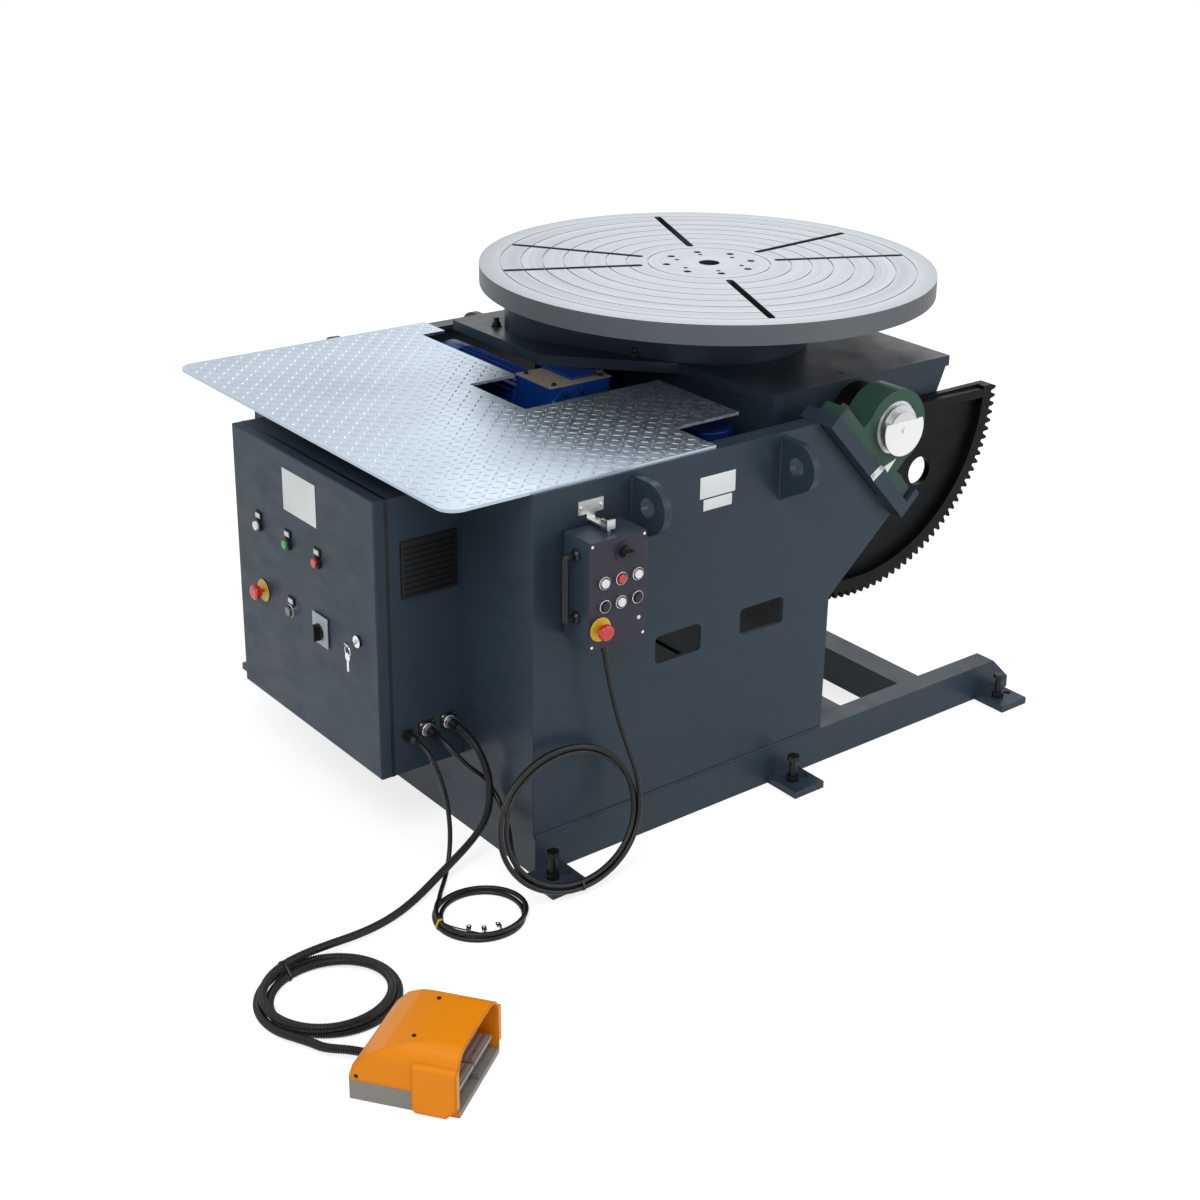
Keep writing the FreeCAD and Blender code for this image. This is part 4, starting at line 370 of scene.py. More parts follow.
def facing(origin, outward, up=(0, 0, 1)):
    """A matrix whose local Z looks outward and whose local Y is up."""
    z = Vector(outward).normalized()
    y = (Vector(up) - z * Vector(up).dot(z)).normalized()
    x = y.cross(z)
    return Matrix.Translation(origin) @ Matrix((x, y, z)).transposed().to_4x4()


def hexagon(build, across, low, high, matrix):
    """A bolt head or nut, given across its flats, with its top corners eased."""
    build.stack([(across / math.sqrt(3), low), (across / math.sqrt(3), high - 0.08 * across),
                 (across / 2.1, high)], matrix, sides=6)


# ------------------------------------------------------------------ cables
# Control points in millimetres, as in the part's source. The coils' turns are worked out below.
PENDANT_ROUTE_A = (
    (-705, -740, 632), (-705, -740, 590), (-696, -748, 520), (-683, -755, 450), (-666, -762, 380),
    (-643, -767, 310), (-620, -768, 245), (-610, -766, 190),
)
PENDANT_ROUTE_B = (
    (-978, -400, 316), (-978, -428, 316), (-975.5, -454, 308.5), (-968.5, -475, 294), (-956, -490, 274),
    (-939, -499, 251), (-918, -504, 229), (-897, -510, 207), (-886, -519, 184.5), (-881.5, -535, 164.5),
    (-883, -556.5, 149.5), (-890, -580.5, 141), (-902, -608, 138.5), (-917, -637, 139),
    (-933, -666, 142), (-949, -693, 145), (-963, -716, 145), (-974, -737, 140), (-981.5, -757, 128.5),
    (-985, -774, 111), (-983.5, -787, 88),
)
CONDUIT_ROUTE = (
    (-915, -400, 319), (-915, -440, 319), (-912, -477, 306), (-907, -507, 279), (-902, -525, 243),
    (-899, -532, 203), (-900, -534, 162), (-908, -534, 123), (-927, -534, 90), (-958, -537, 65),
    (-999, -546, 47), (-1047, -560, 33), (-1099, -579, 22), (-1157, -604, 14.5), (-1221, -629, 12),
    (-1287, -648, 14), (-1354, -660, 20), (-1418, -666, 28), (-1470, -668, 31.5),
)
CONDUIT_TAIL = (
    (-1633, -945, 18), (-1624, -978, 20), (-1606, -1006, 24), (-1583.5, -1031.5, 26),
    (-1563.8, -1059.7, 26),
)
POWER_ROUTE = (
    (-1032, -400, 315), (-1032, -427, 315), (-1030, -452, 306), (-1026, -472, 288),
    (-1020.5, -485, 263), (-1013, -491, 232), (-1005, -493, 198), (-998, -493, 163), (-994, -493, 128),
    (-993, -495, 95), (-997, -501, 65), (-1006, -511, 39), (-1020, -526, 20), (-1039, -547, 9.5),
    (-1061, -572, 7), (-1084, -598, 9.5), (-1105, -623, 14), (-1124, -648, 17.6),
)


def spline_curve(name, points, radius):
    """One smooth open spline through control points in metres."""
    data = bpy.data.curves.new(name, "CURVE")
    data.dimensions = "3D"
    spline = data.splines.new("NURBS")
    spline.points.add(len(points) - 1)
    for control, point in zip(spline.points, points):
        control.co = (*point, 1.0)
    spline.order_u = 3
    spline.use_endpoint_u = True
    data.resolution_u = 6
    data.bevel_depth = radius
    data.bevel_resolution = 5
    data.use_fill_caps = True
    return data


def centreline(points):
    """Samples of the smooth line that the control points make."""
    data = spline_curve("probe", points, 0.0)
    data.bevel_depth = 0.0
    probe = bpy.data.objects.new("probe", data)
    bpy.context.scene.collection.objects.link(probe)
    depsgraph = bpy.context.evaluated_depsgraph_get()
    line = bpy.data.meshes.new_from_object(probe.evaluated_get(depsgraph))
    samples = [v.co.copy() for v in line.vertices]
    bpy.data.objects.remove(probe)
    bpy.data.meshes.remove(line)
    return samples


def line_length(samples):
    """Length along a list of points."""
    return sum((b - a).length for a, b in zip(samples, samples[1:]))


def metres(points):
    return [Vector(p) * MM for p in points]


def evenly(samples, step):
    """Points a fixed distance apart along a fine line."""
    line = np.array(samples)
    along = np.concatenate([[0.0], np.cumsum(np.linalg.norm(line[1:] - line[:-1], axis=1))])
    places = np.linspace(0.0, along[-1], max(2, int(along[-1] / step)))
    return np.stack([np.interp(places, along, line[:, k]) for k in range(3)], axis=1), places


SETTLE_ROUNDS = 320
PUSH, SMOOTH, HOLD = 0.3, 0.25, 0.02
FREED_OVER = 0.04
NEIGHBOURS = 4


def settle(lead, coil, tail, diameter):
    """Lays a coil between two fixed runs: strands that touch push apart and none goes under the floor.

    Each round moves a point away from strands nearer than the gap, towards the middle of its
    neighbours and a little back home. Near the fixed runs the points are freed by and by.
    """
    line, places = evenly(centreline(lead + coil + tail), 0.8 * diameter)
    head = line_length(centreline(lead))
    rear = places[-1] - line_length(centreline(tail)) if tail else math.inf
    free = np.clip((places - head) / FREED_OVER, 0, 1) * np.clip((rear - places) / FREED_OVER, 0, 1)
    home = line.copy()
    gap = 1.05 * diameter
    index = np.arange(len(line))
    apart = np.abs(index[:, None] - index[None, :]) > NEIGHBOURS
    for _ in range(SETTLE_ROUNDS):
        offset = line[:, None, :] - line[None, :, :]
        distance = np.linalg.norm(offset, axis=2) + 1e-9
        push = np.where(apart & (distance < gap), (gap - distance) / distance, 0.0)
        move = PUSH * (push[:, :, None] * offset).sum(axis=1)
        move[1:-1] += SMOOTH * ((line[:-2] + line[2:]) / 2 - line[1:-1])
        move += HOLD * (home - line)
        line = line + free[:, None] * move
        line[:, 2] = np.where(free > 0, np.maximum(line[:, 2], diameter / 2), line[:, 2])
    keep = (places > head + 1.6 * diameter) & (places < rear - 2.5 * diameter)
    laid = [Vector(p) for p in line[keep][::2]]
    return lead + laid + tail


POINTS_A_TURN = 24


def turns(centre, sides, wide, tall, start, way, knots):
    """Points round an oval from one bearing; knots give turns run, growth and lift of the strand."""
    across, along, out = sides
    count = int(knots[-1][0] * POINTS_A_TURN)
    at = [k / POINTS_A_TURN for k in range(1, count + 1)]
    grow = np.interp(at, [k[0] for k in knots], [k[1] for k in knots]) * MM
    lift = np.interp(at, [k[0] for k in knots], [k[2] for k in knots]) * MM
    points = []
    for share, g, h in zip(at, grow, lift):
        a = math.radians(start + way * 360 * share)
        points.append(centre + across * (wide + g) * math.cos(a) + along * (tall + g) * math.sin(a) + out * h)
    return points


def tube_mesh(name, samples, diameter, rib_pitch, rib_depth, sides=16):
    """A round tube along a centreline, four rings to a rib: two on its crest and two in its groove."""
    lengths = [0.0]
    for a, b in zip(samples, samples[1:]):
        lengths.append(lengths[-1] + (b - a).length)
    total = lengths[-1]
    rings = int(total / rib_pitch * 4)
    verts = []
    faces = []
    normal = None
    index = 0
    for k in range(rings + 1):
        at = total * k / rings
        while index < len(lengths) - 2 and lengths[index + 1] < at:
            index += 1
        span = max(1e-9, lengths[index + 1] - lengths[index])
        point = samples[index].lerp(samples[index + 1], (at - lengths[index]) / span)
        tangent = (samples[index + 1] - samples[index]).normalized()
        if normal is None:
            normal = tangent.orthogonal().normalized()
        normal = (normal - tangent * normal.dot(tangent)).normalized()
        side = tangent.cross(normal)
        radius = diameter / 2 - (rib_depth if k % 4 in (2, 3) else 0.0)
        for j in range(sides):
            a = 2 * math.pi * j / sides
            verts.append(point + (normal * math.cos(a) + side * math.sin(a)) * radius)
        if k:
            base = (k - 1) * sides
            for j in range(sides):
                n = (j + 1) % sides
                faces.append((base + j, base + n, base + sides + n, base + sides + j))
    faces.append(tuple(reversed(range(sides))))
    faces.append(tuple(range(rings * sides, (rings + 1) * sides)))
    mesh_data = bpy.data.meshes.new(name)
    mesh_data.from_pydata(verts, [], faces)
    for face in mesh_data.polygons:
        face.use_smooth = len(face.vertices) == 4
    mesh_data.set_sharp_from_angle(angle=math.radians(30))
    return mesh_data


TIE_IN, TIE_OUT = 0.0003, 0.0016
TIE_SIDES = 36


def strap(build, samples, middle, tangent, out, radius, length):
    """A cable tie drawn tight round every strand that passes near a point."""
    z = tangent.normalized()
    y = (out - z * out.dot(z)).normalized()
    x = y.cross(z)
    spots = [p - middle for p in samples if abs((p - middle).dot(z)) < radius and (p - middle).length < 0.05]
    spots = [(p.dot(x), p.dot(y)) for p in spots]
    rings = []
    for thick, along in ((TIE_IN, -length / 2), (TIE_OUT, -length / 2), (TIE_OUT, length / 2), (TIE_IN, length / 2)):
        ring = []
        for k in range(TIE_SIDES):
            a = 2 * math.pi * k / TIE_SIDES
            u, v = max(spots, key=lambda p: p[0] * math.cos(a) + p[1] * math.sin(a))
            point = middle + x * (u + (radius + thick) * math.cos(a)) + y * (v + (radius + thick) * math.sin(a))
            point += z * along
            point.z = max(point.z, 0.0002)
            ring.append(build.mesh.verts.new(point))
        rings.append(ring)
    for one, two in zip(rings, rings[1:] + rings[:1]):
        for k in range(TIE_SIDES):
            j = (k + 1) % TIE_SIDES
            build.mesh.faces.new((one[k], two[k], two[j], one[j]))


FLOOR_SIDES = (Vector((1, 0, 0)), Vector((0, 1, 0)), Vector((0, 0, 1)))
CONDUIT_CENTRE = Vector((-1.520, -0.822, 0.0))
POWER_CENTRE = Vector((-1.068, -0.746, 0.0))
RING_CENTRE = Vector((-0.816, -0.760, 0.181))
RING_LEAN = Vector((0, 0.33, 1)).normalized()
RING_WIDE, RING_TALL = 0.206, 0.169
CONDUIT_DIAMETER = 0.020
POWER_DIAMETER = 0.012
PENDANT_DIAMETER = 0.013
CORE_RADIUS = 0.00175
RIB_PITCH, RIB_DEPTH = 0.0056, 0.0016


def bearing_line(degrees):
    """A level unit vector at a bearing from +X."""
    return Vector((math.cos(math.radians(degrees)), math.sin(math.radians(degrees)), 0))


def foot_cord():
    """The ribbed hose from the cabinet to the foot switch."""
    knots = ((0, 6, 31), (0.43, -8, 31), (0.7, -4, 31), (1.0, -11, 10.5), (1.43, -17, 10.5), (1.7, 10, 10.5),
             (2.0, 12, 10.5), (2.42, 8, 17))
    coil = turns(CONDUIT_CENTRE, FLOOR_SIDES, 0.155, 0.155, 72.0, 1, knots)
    samples = centreline(settle(metres(CONDUIT_ROUTE), coil, metres(CONDUIT_TAIL), CONDUIT_DIAMETER))
    mesh_data = tube_mesh("foot_hose", samples, CONDUIT_DIAMETER, RIB_PITCH, RIB_DEPTH)
    hose = add_object("foot_hose", mesh_data, "conduit", "root")
    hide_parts("foot_conduit", "foot_coil")
    tie = Build()
    strap(tie, samples, CONDUIT_CENTRE + bearing_line(104) * 0.1555 + Vector((0, 0, 0.020)), bearing_line(194),
          bearing_line(104), CONDUIT_DIAMETER / 2, 0.005)
    band = tie.finish("hose_tie", "plastic_black", "root")


def power_cord():
    """The supply cable, which ends on the floor in three cores."""
    knots = ((0, 4, 17.6), (0.3, 3, 17.5), (0.55, 3, 17.5), (0.8, 7, 8), (1.0, 9, 6.5), (1.45, 6, 6.5),
             (1.6, -5, 6.5), (1.85, -10, 6.5), (2.0, -6.5, 6.5), (2.16, -9, 6.5))
    coil = turns(POWER_CENTRE, FLOOR_SIDES, 0.109, 0.109, 119.7, 1, knots)
    points = settle(metres(POWER_ROUTE), coil, [], POWER_DIAMETER)
    line = spline_curve("power_lead", points, POWER_DIAMETER / 2)
    lead = add_object("power_lead", line, "rubber", "root")
    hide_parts("power_cable", "power_coil")
    tip = points[-1]
    heading = (points[-1] - points[-2]).normalized()
    side = heading.cross(Vector((0, 0, 1)))
    for bearing, finish, spread in ((-145, "rubber", 0.003), (-118, "core_white", 0.0), (-91, "rubber", -0.003)):
        turn = bearing + 360
        run = [tip - heading * 0.006 + side * spread, tip + heading * 0.010 + side * spread]
        for back, reach, height in ((18, 0.0965, 0.0045), (10, 0.0985, 0.005), (3, 0.0985, 0.005), (0, 0.0955, 0.0045)):
            if turn - back > 198:
                run.append(POWER_CENTRE + bearing_line(turn - back) * (reach + spread / 2) + Vector((0, 0, height)))
        run.append(POWER_CENTRE + bearing_line(turn) * 0.0905 + Vector((0, 0, 0.004)))
        add_object("core_%d" % -bearing, spline_curve("core", run, CORE_RADIUS), finish, "root")
    tie = Build()
    strap(tie, centreline(points), POWER_CENTRE + bearing_line(172) * 0.1085 + Vector((0, 0, 0.012)),
          bearing_line(262), bearing_line(172), POWER_DIAMETER / 2, 0.007)
    band = tie.finish("power_tie", "yellow", "root")


def pendant_cord():
    """The pendant's lead, whose coil leans on the body."""
    across = Vector((1, 0, 0))
    out = across.cross(RING_LEAN)
    knots = ((0, 0, 8.5), (0.26, 6, 8), (0.5, 9, 7), (0.76, 9, 5), (0.85, 9, 6), (1.0, -12, 2), (1.26, -8, 5),
             (1.41, -8, 9), (1.76, -8, 4), (1.85, -4, -9), (2.0, 2, -6), (2.26, 2, -7), (2.38, -1, -3.5))
    coil = turns(RING_CENTRE, (across, RING_LEAN, out), RING_WIDE, RING_TALL, 2.6, -1, knots)
    route = list(reversed(metres(PENDANT_ROUTE_B)))
    points = settle(metres(PENDANT_ROUTE_A), coil, route, PENDANT_DIAMETER)
    line = spline_curve("pendant_lead", points, PENDANT_DIAMETER / 2)
    lead = add_object("pendant_lead", line, "rubber", "root")
    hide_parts("pendant_cable", "pendant_coil")
    angle = math.radians(268)
    middle = RING_CENTRE + across * RING_WIDE * math.cos(angle) + RING_LEAN * RING_TALL * math.sin(angle)
    tangent = across * -RING_WIDE * math.sin(angle) + RING_LEAN * RING_TALL * math.cos(angle)
    tie = Build()
    strap(tie, centreline(points), middle, tangent, out, PENDANT_DIAMETER / 2, 0.005)
    band = tie.finish("lead_tie", "plastic_black", "root")
    relief = Build()
    relief.stack([(0.011, -0.0005), (0.013, 0.004), (0.013, 0.014), (0.0105, 0.018), (0.0085, 0.040)],
                 facing(metres(PENDANT_ROUTE_A)[0], (0, 0, -1), (0, 1, 0)))
    gland = relief.finish("lead_gland", "plastic_black", "root")


# ------------------------------------------------------------------ deck
DECK_TOP = 1.016
DECK_OUTLINE = ((-1.094, -0.670), (-1.094, 0.670), (-0.311, 0.670), (-0.311, 0.560), (-0.388, 0.560),
                (-0.388, 0.090), (-0.536, 0.090), (-0.536, -0.170), (-0.094, -0.170), (-0.094, -0.505),
                (-0.311, -0.505), (-0.311, -0.670))


TREAD_START = (-1.090, -0.670)
TREAD_SPAN = (1.04, 1.34)
TREAD_RISE = 0.0016
TREAD_PITCH = 0.0265
TEAR_HALF_LONG, TEAR_HALF_WIDE = 0.0115, 0.0036
TREAD_MARGIN = 0.012


def inside_outline(x, y, outline):
    """Whether a point lies within a closed outline."""
    hit = False
    for (x1, y1), (x2, y2) in zip(outline, outline[1:] + outline[:1]):
        if (y1 > y) != (y2 > y) and x < (x2 - x1) * (y - y1) / (y2 - y1) + x1:
            hit = not hit
    return hit


def tread_pattern():
    """Raised tears in rows, turned this way and that, over the whole deck."""
    long, wide, rise = TEAR_HALF_LONG, TEAR_HALF_WIDE, TREAD_RISE
    base = ((-long, 0, 0), (-0.45 * long, -wide, 0), (0.35 * long, -0.8 * wide, 0), (long, 0, 0),
            (0.35 * long, 0.8 * wide, 0), (-0.45 * long, wide, 0), (-0.5 * long, 0, rise), (0.45 * long, 0, 0.8 * rise))
    sides = ((0, 1, 6), (1, 2, 7, 6), (2, 3, 7), (3, 4, 7), (4, 5, 6, 7), (5, 0, 6))
    verts = []
    faces = []
    rows, columns = (int(span / TREAD_PITCH) for span in TREAD_SPAN)
    for row in range(rows + 1):
        for column in range(columns + 1):
            x = TREAD_START[0] + TREAD_PITCH * (row + 0.5)
            y = TREAD_START[1] + TREAD_PITCH * (column + 0.5)
            clear = all(inside_outline(x + dx, y + dy, DECK_OUTLINE)
                        for dx in (-TREAD_MARGIN, TREAD_MARGIN) for dy in (-TREAD_MARGIN, TREAD_MARGIN))
            rounded_corner = x < -1.050 and abs(y) > 0.630
            if not clear or rounded_corner:
                continue
            turn = math.radians(45 if (row + column) % 2 else -45)
            start = len(verts)
            for px, py, pz in base:
                verts.append((x + px * math.cos(turn) - py * math.sin(turn),
                              y + px * math.sin(turn) + py * math.cos(turn), DECK_TOP + pz))
            faces += [tuple(start + i for i in face) for face in sides]
    mesh_data = bpy.data.meshes.new("tread_tears")
    mesh_data.from_pydata(verts, [], faces)
    add_object("tread_tears", mesh_data, "galvanised", "root")


# ------------------------------------------------------------------ small fittings
DOOR_X = -1.109
DOOR_BUTTONS = {"white": (0.205, 0.707), "green": (0.052, 0.705), "red": (-0.097, 0.705), "reset": (0.049, 0.521)}
DOOR_ESTOP = (0.198, 0.525)
DOOR_LOCK = (-0.281, 0.558)
ISOLATOR = (-0.102, 0.519)
NAMEPLATE = (-0.0155, 0.8515)
KEY_OUT = 0.030
OUT_OF_DOOR = (-1, 0, 0)
OUT_OF_NEAR_SIDE = (0, -1, 0)
PENDANT_Y = -0.790


def at_door(y, z):
    return facing((DOOR_X, y, z), OUT_OF_DOOR)


def at_pendant(x, z):
    return facing((x, PENDANT_Y, z), OUT_OF_NEAR_SIDE)


def flat_ring(build, outer, inner, low, high, matrix, sides=36):
    """A washer with its outer top edge chamfered."""
    build.lathe([(inner, low), (outer, low), (outer, high - 0.0006), (outer - 0.0006, high), (inner, high)],
                matrix, sides)


def door_details():
    """Legend holders, rings, the emergency stop's disc and the isolator's plate."""
    legends, inserts, chrome = Build(), Build(), Build()
    for y, z in DOOR_BUTTONS.values():
        legends.box((0, 0.027, 0.0022), (0.032, 0.021, 0.0044), at_door(y, z), 0.001)
        inserts.box((0, 0.027, 0.0044), (0.022, 0.012, 0.0010), at_door(y, z), 0.0002)
        flat_ring(legends, 0.0176, 0.0160, 0.0, 0.0075, at_door(y, z))
    flat_ring(chrome, 0.0184, 0.0178, 0.0, 0.0085, at_door(*DOOR_BUTTONS["reset"]))
    flat_ring(chrome, 0.0158, 0.0060, 0.0048, 0.0062, at_door(*DOOR_LOCK))
    legends.finish("door_legends", "plastic_black", "cabinet_door")
    inserts.finish("legend_inserts", "label", "cabinet_door")
    chrome.finish("door_rings", "bright", "cabinet_door", slot="connector_chrome")
    yellow = Build()
    flat_ring(yellow, 0.0305, 0.0055, 0.0026, 0.0034, at_door(*DOOR_ESTOP), 40)
    yellow.finish("door_estop_disc", "yellow", "cabinet_door")
    plate = Build()
    plate.box((0, 0.004, 0.0043), (0.074, 0.082, 0.0030), at_door(*ISOLATOR), 0.0012)
    flat_ring(plate, 0.0265, 0.0056, 0.0056, 0.0080, at_door(*ISOLATOR), 40)
    plate.finish("isolator_plate", "plastic_grey", "cabinet_door")
    nameplate()
    spare_key()
    door_seal()


def nameplate():
    """A blank plate with a rivet at each corner."""
    plate = Build()
    plate.box((0, 0, 0.0006), (0.165, 0.113, 0.0012), at_door(*NAMEPLATE), 0.0004)
    plate.finish("nameplate", "nameplate", "cabinet_door")
    rivets = Build()
    y, z = NAMEPLATE
    for dy in (-0.076, 0.076):
        for dz in (-0.050, 0.050):
            rivets.stack([(0.0022, 0.001), (0.0022, 0.0018), (0.0012, 0.0024)], at_door(y + dy, z + dz), 10)
    rivets.finish("nameplate_rivets", "bright", "cabinet_door")


def spare_key():
    """A second key that hangs from the one in the lock by a ring."""
    key = Build()
    y = DOOR_LOCK[0]
    ring_centre = Matrix.Translation((DOOR_X - KEY_OUT, y, 0.540)) @ Matrix.Rotation(math.radians(90), 4, "Y")
    loop = [(0.0125 + 0.0011 * math.cos(a), 0.0011 * math.sin(a)) for a in (k * math.pi / 4 for k in range(8))]
    key.lathe(loop, ring_centre, 28)
    key.box((-KEY_OUT, y, 0.507), (0.0018, 0.009, 0.044), Matrix.Translation((DOOR_X, 0, 0)), 0.0005)
    key.disc(0.011, -0.0011, 0.0011, facing((DOOR_X - KEY_OUT, y, 0.524), OUT_OF_DOOR))
    key.finish("spare_key", "bright", "door_key")


def door_seal():
    """The dark gap all round between door and cabinet."""
    seal = Build()
    low_x, high_x = -1.0792, -1.0702
    for y in (-0.3713, 0.3323):
        seal.box(((low_x + high_x) / 2, y, 0.581), (high_x - low_x, 0.0010, 0.7364))
    for z in (0.2127, 0.9493):
        seal.box(((low_x + high_x) / 2, -0.0195, z), (high_x - low_x, 0.7036, 0.0010))
    seal.finish("door_seal", "rubber", "cabinet_door")


SOCKETS = ((-0.978, 0.316), (-0.915, 0.319))
COUPLING_RIBS = 18


def cabinet_details():
    """The vent's mesh, and the rings and boots of the sockets and gland."""
    vent = Build()
    vent.box((-0.9595, -0.3726, 0.7575), (0.143, 0.0012, 0.136))
    vent.finish("vent_mesh", "rubber", "root")
    chrome = Build()
    for x, z in SOCKETS:
        flat_ring(chrome, 0.0178, 0.0161, 0.0, 0.0075, facing((x, -0.374, z), OUT_OF_NEAR_SIDE), 32)
        for k in range(COUPLING_RIBS):
            a = 2 * math.pi * k / COUPLING_RIBS
            centre = facing((x, -0.379, z), OUT_OF_NEAR_SIDE)
            chrome.box((0.0163 * math.cos(a), 0.0163 * math.sin(a), 0.007), (0.0016, 0.0016, 0.010), centre)
        for dx in (-0.0175, 0.0175):
            for dz in (-0.0175, 0.0175):
                chrome.disc(0.0024, 0.0, 0.0018, facing((x + dx, -0.374, z + dz), OUT_OF_NEAR_SIDE), 10)
    chrome.finish("socket_rings", "bright", "root", slot="connector_chrome")
    boots = Build()
    for x, z in SOCKETS:
        boots.stack([(0.0134, 0.0), (0.0134, 0.010), (0.0115, 0.013), (0.0108, 0.030)],
                    facing((x, -0.3905, z), OUT_OF_NEAR_SIDE), 28)
    boots.stack([(0.0124, 0.0), (0.0124, 0.009), (0.0100, 0.013), (0.0072, 0.020)],
                facing((-1.032, -0.396, 0.315), OUT_OF_NEAR_SIDE), 28)
    boots.finish("plug_boots", "plastic_black", "root")


PENDANT_BUTTONS = ((-0.750, 0.801), (-0.701, 0.801), (-0.652, 0.801),
                   (-0.748, 0.741), (-0.701, 0.741), (-0.652, 0.741))


def pendant_details():
    """Button rings, cover and hanger screws, the stop's disc, a lamp and the handles' feet."""
    chrome, screws, yellow, lamp = Build(), Build(), Build(), Build()
    for x, z in PENDANT_BUTTONS:
        flat_ring(chrome, 0.0162, 0.0150, 0.0, 0.0095, at_pendant(x, z))
    for x, z in ((-0.781, 0.896), (-0.629, 0.896), (-0.781, 0.641), (-0.629, 0.641)):
        screws.stack([(0.0040, 0.0), (0.0040, 0.0012), (0.0026, 0.0024)], at_pendant(x, z), 14)
        screws.box((0, 0, 0.0022), (0.0050, 0.0008, 0.0006), at_pendant(x, z))
    for x in (-0.733, -0.675):
        screws.stack([(0.0052, 0.0), (0.0052, 0.0016), (0.0032, 0.0030)],
                     facing((x, -0.681, 0.947), OUT_OF_NEAR_SIDE), 14)
    flat_ring(yellow, 0.0302, 0.0055, 0.0026, 0.0034, at_pendant(-0.757, 0.683), 40)
    lamp.stack([(0.0050, 0.0), (0.0050, 0.0012), (0.0034, 0.0016), (0.0026, 0.0030)], at_pendant(-0.642, 0.683), 18)
    chrome.finish("pendant_rings", "bright", "root", slot="connector_chrome")
    screws.finish("pendant_screws", "bright", "root")
    yellow.finish("pendant_estop_disc", "yellow", "root")
    lamp.finish("pendant_lamp", "white", "root")
    feet = Build()
    for side, x in ((-1, -0.789), (1, -0.621)):
        for z in (0.704, 0.862):
            feet.stack([(0.0155, 0.0), (0.0155, 0.004), (0.0110, 0.010)], facing((x, -0.740, z), (side, 0, 0)), 20)
    feet.finish("handle_feet", "plastic_black", "root")


HEAD_TOP = 1.050
SCREW_CIRCLE = 0.073


def head_details():
    """Bolts and a plug on the head's top, and the rotation reducer's cover and screws."""
    bolts = Build()
    for x, y in ((-0.225, 0.419), (-0.080, -0.045)):
        place = Matrix.Translation((x, y, HEAD_TOP))
        bolts.disc(0.017, 0.0, 0.003, place)
        hexagon(bolts, 0.024, 0.003, 0.013, place)
        bolts.disc(0.008, 0.013, 0.026, place, chamfer=0.0015)
    bolts.finish("head_bolts", "black_oxide", "head", slot="black_bolts")
    plug = Build()
    plug.stack([(0.0085, 0.0), (0.0085, 0.0007), (0.0060, 0.0009)],
               Matrix.Translation((0.298, -0.481, HEAD_TOP)), 24)
    plug.finish("head_plug", "body", "head", slot="body_paint")
    cover = Build()
    cover.box((-0.273, 0.025, 1.0115), (0.206, 0.168, 0.003), bevel=0.001)
    cover.finish("stage_cover", "tan", "head")
    screws = Build()
    for x in (-0.352, -0.194):
        for y in (-0.040, 0.090):
            hexagon(screws, 0.013, 0.0, 0.006, Matrix.Translation((x, y, 1.013)))
    for k in range(8):
        a = math.pi / 4 * k + 0.39
        place = facing((-0.308 + SCREW_CIRCLE * math.cos(a), -0.068, 0.925 + SCREW_CIRCLE * math.sin(a)),
                       OUT_OF_NEAR_SIDE)
        hexagon(screws, 0.012, 0.0, 0.007, place)
    screws.finish("stage_screws", "black_oxide", "head")


def sector_details():
    """Bolts through the hub, on the side that shows."""
    screws = Build()
    for k in range(6):
        a = math.pi / 3 * k + 0.3
        place = facing((0.296 + SCREW_CIRCLE * math.cos(a), -0.605, 0.952 + SCREW_CIRCLE * math.sin(a)),
                       OUT_OF_NEAR_SIDE)
        hexagon(screws, 0.013, 0.0, 0.005, place)
    screws.finish("hub_screws", "black_oxide", "head")


def wall_plates():
    """Blank plates where the near wall carries its two."""
    plates = Build()
    for x, z, wide, high in ((-0.3075, 0.9135, 0.115, 0.057), (-0.3065, 0.866, 0.093, 0.030)):
        plates.box((x, -0.6776, z), (wide, 0.0012, high), bevel=0.0004)
    plates.finish("wall_plates", "label", "root")


WELD_STEP = 0.007


def weld_bead(name, points, radius):
    """A wavy fillet of weld metal along a straight seam, painted over."""
    start, end = (Vector(p) for p in points)
    steps = max(4, int((end - start).length / WELD_STEP))
    rng = random.Random(name)
    line = [start.lerp(end, k / steps) for k in range(steps + 1)]
    data = bpy.data.curves.new(name, "CURVE")
    data.dimensions = "3D"
    spline = data.splines.new("POLY")
    spline.points.add(len(line) - 1)
    for control, point in zip(spline.points, line):
        control.co = (*point, 1.0)
        control.radius = 0.85 + 0.3 * rng.random()
    data.bevel_depth = radius
    data.bevel_resolution = 2
    add_object(name, data, "body", "root")


def welds():
    """Beads along the base, round the lugs and up the rear corners."""
    for side in (-1, 1):
        y = side * 0.6775
        weld_bead("weld_foot_%d" % side, ((-0.866, y, 0.107), (0.095, y, 0.107)), 0.0042)
        for number, x in enumerate((-0.568, -0.086)):
            for edge in (-0.0115, 0.0115):
                weld_bead("weld_lug_%d_%d_%d" % (side, number, edge > 0),
                          ((x + edge, y, 0.826), (x + edge, y, 0.994)), 0.0032)
        x, y = -0.8675, side * 0.6745
        for number, (low, high) in enumerate(((0.115, 0.595), (0.6, 0.9984))):
            weld_bead("weld_rear_%d_%d" % (side, number), ((x, y, low), (x, y, high)), 0.0022)


PEDAL_ORIGIN = Vector((-1.488, -1.168, 0))
PEDAL_TURN = math.radians(35)


def pedal_place(x, y, z, outward):
    """From the foot switch's own axes to the room."""
    turn = Matrix.Rotation(PEDAL_TURN, 3, "Z")
    up = (0, 1, 0) if outward[2] else (0, 0, 1)
    return facing(PEDAL_ORIGIN + turn @ Vector((x, y, z)), turn @ Vector(outward), up)


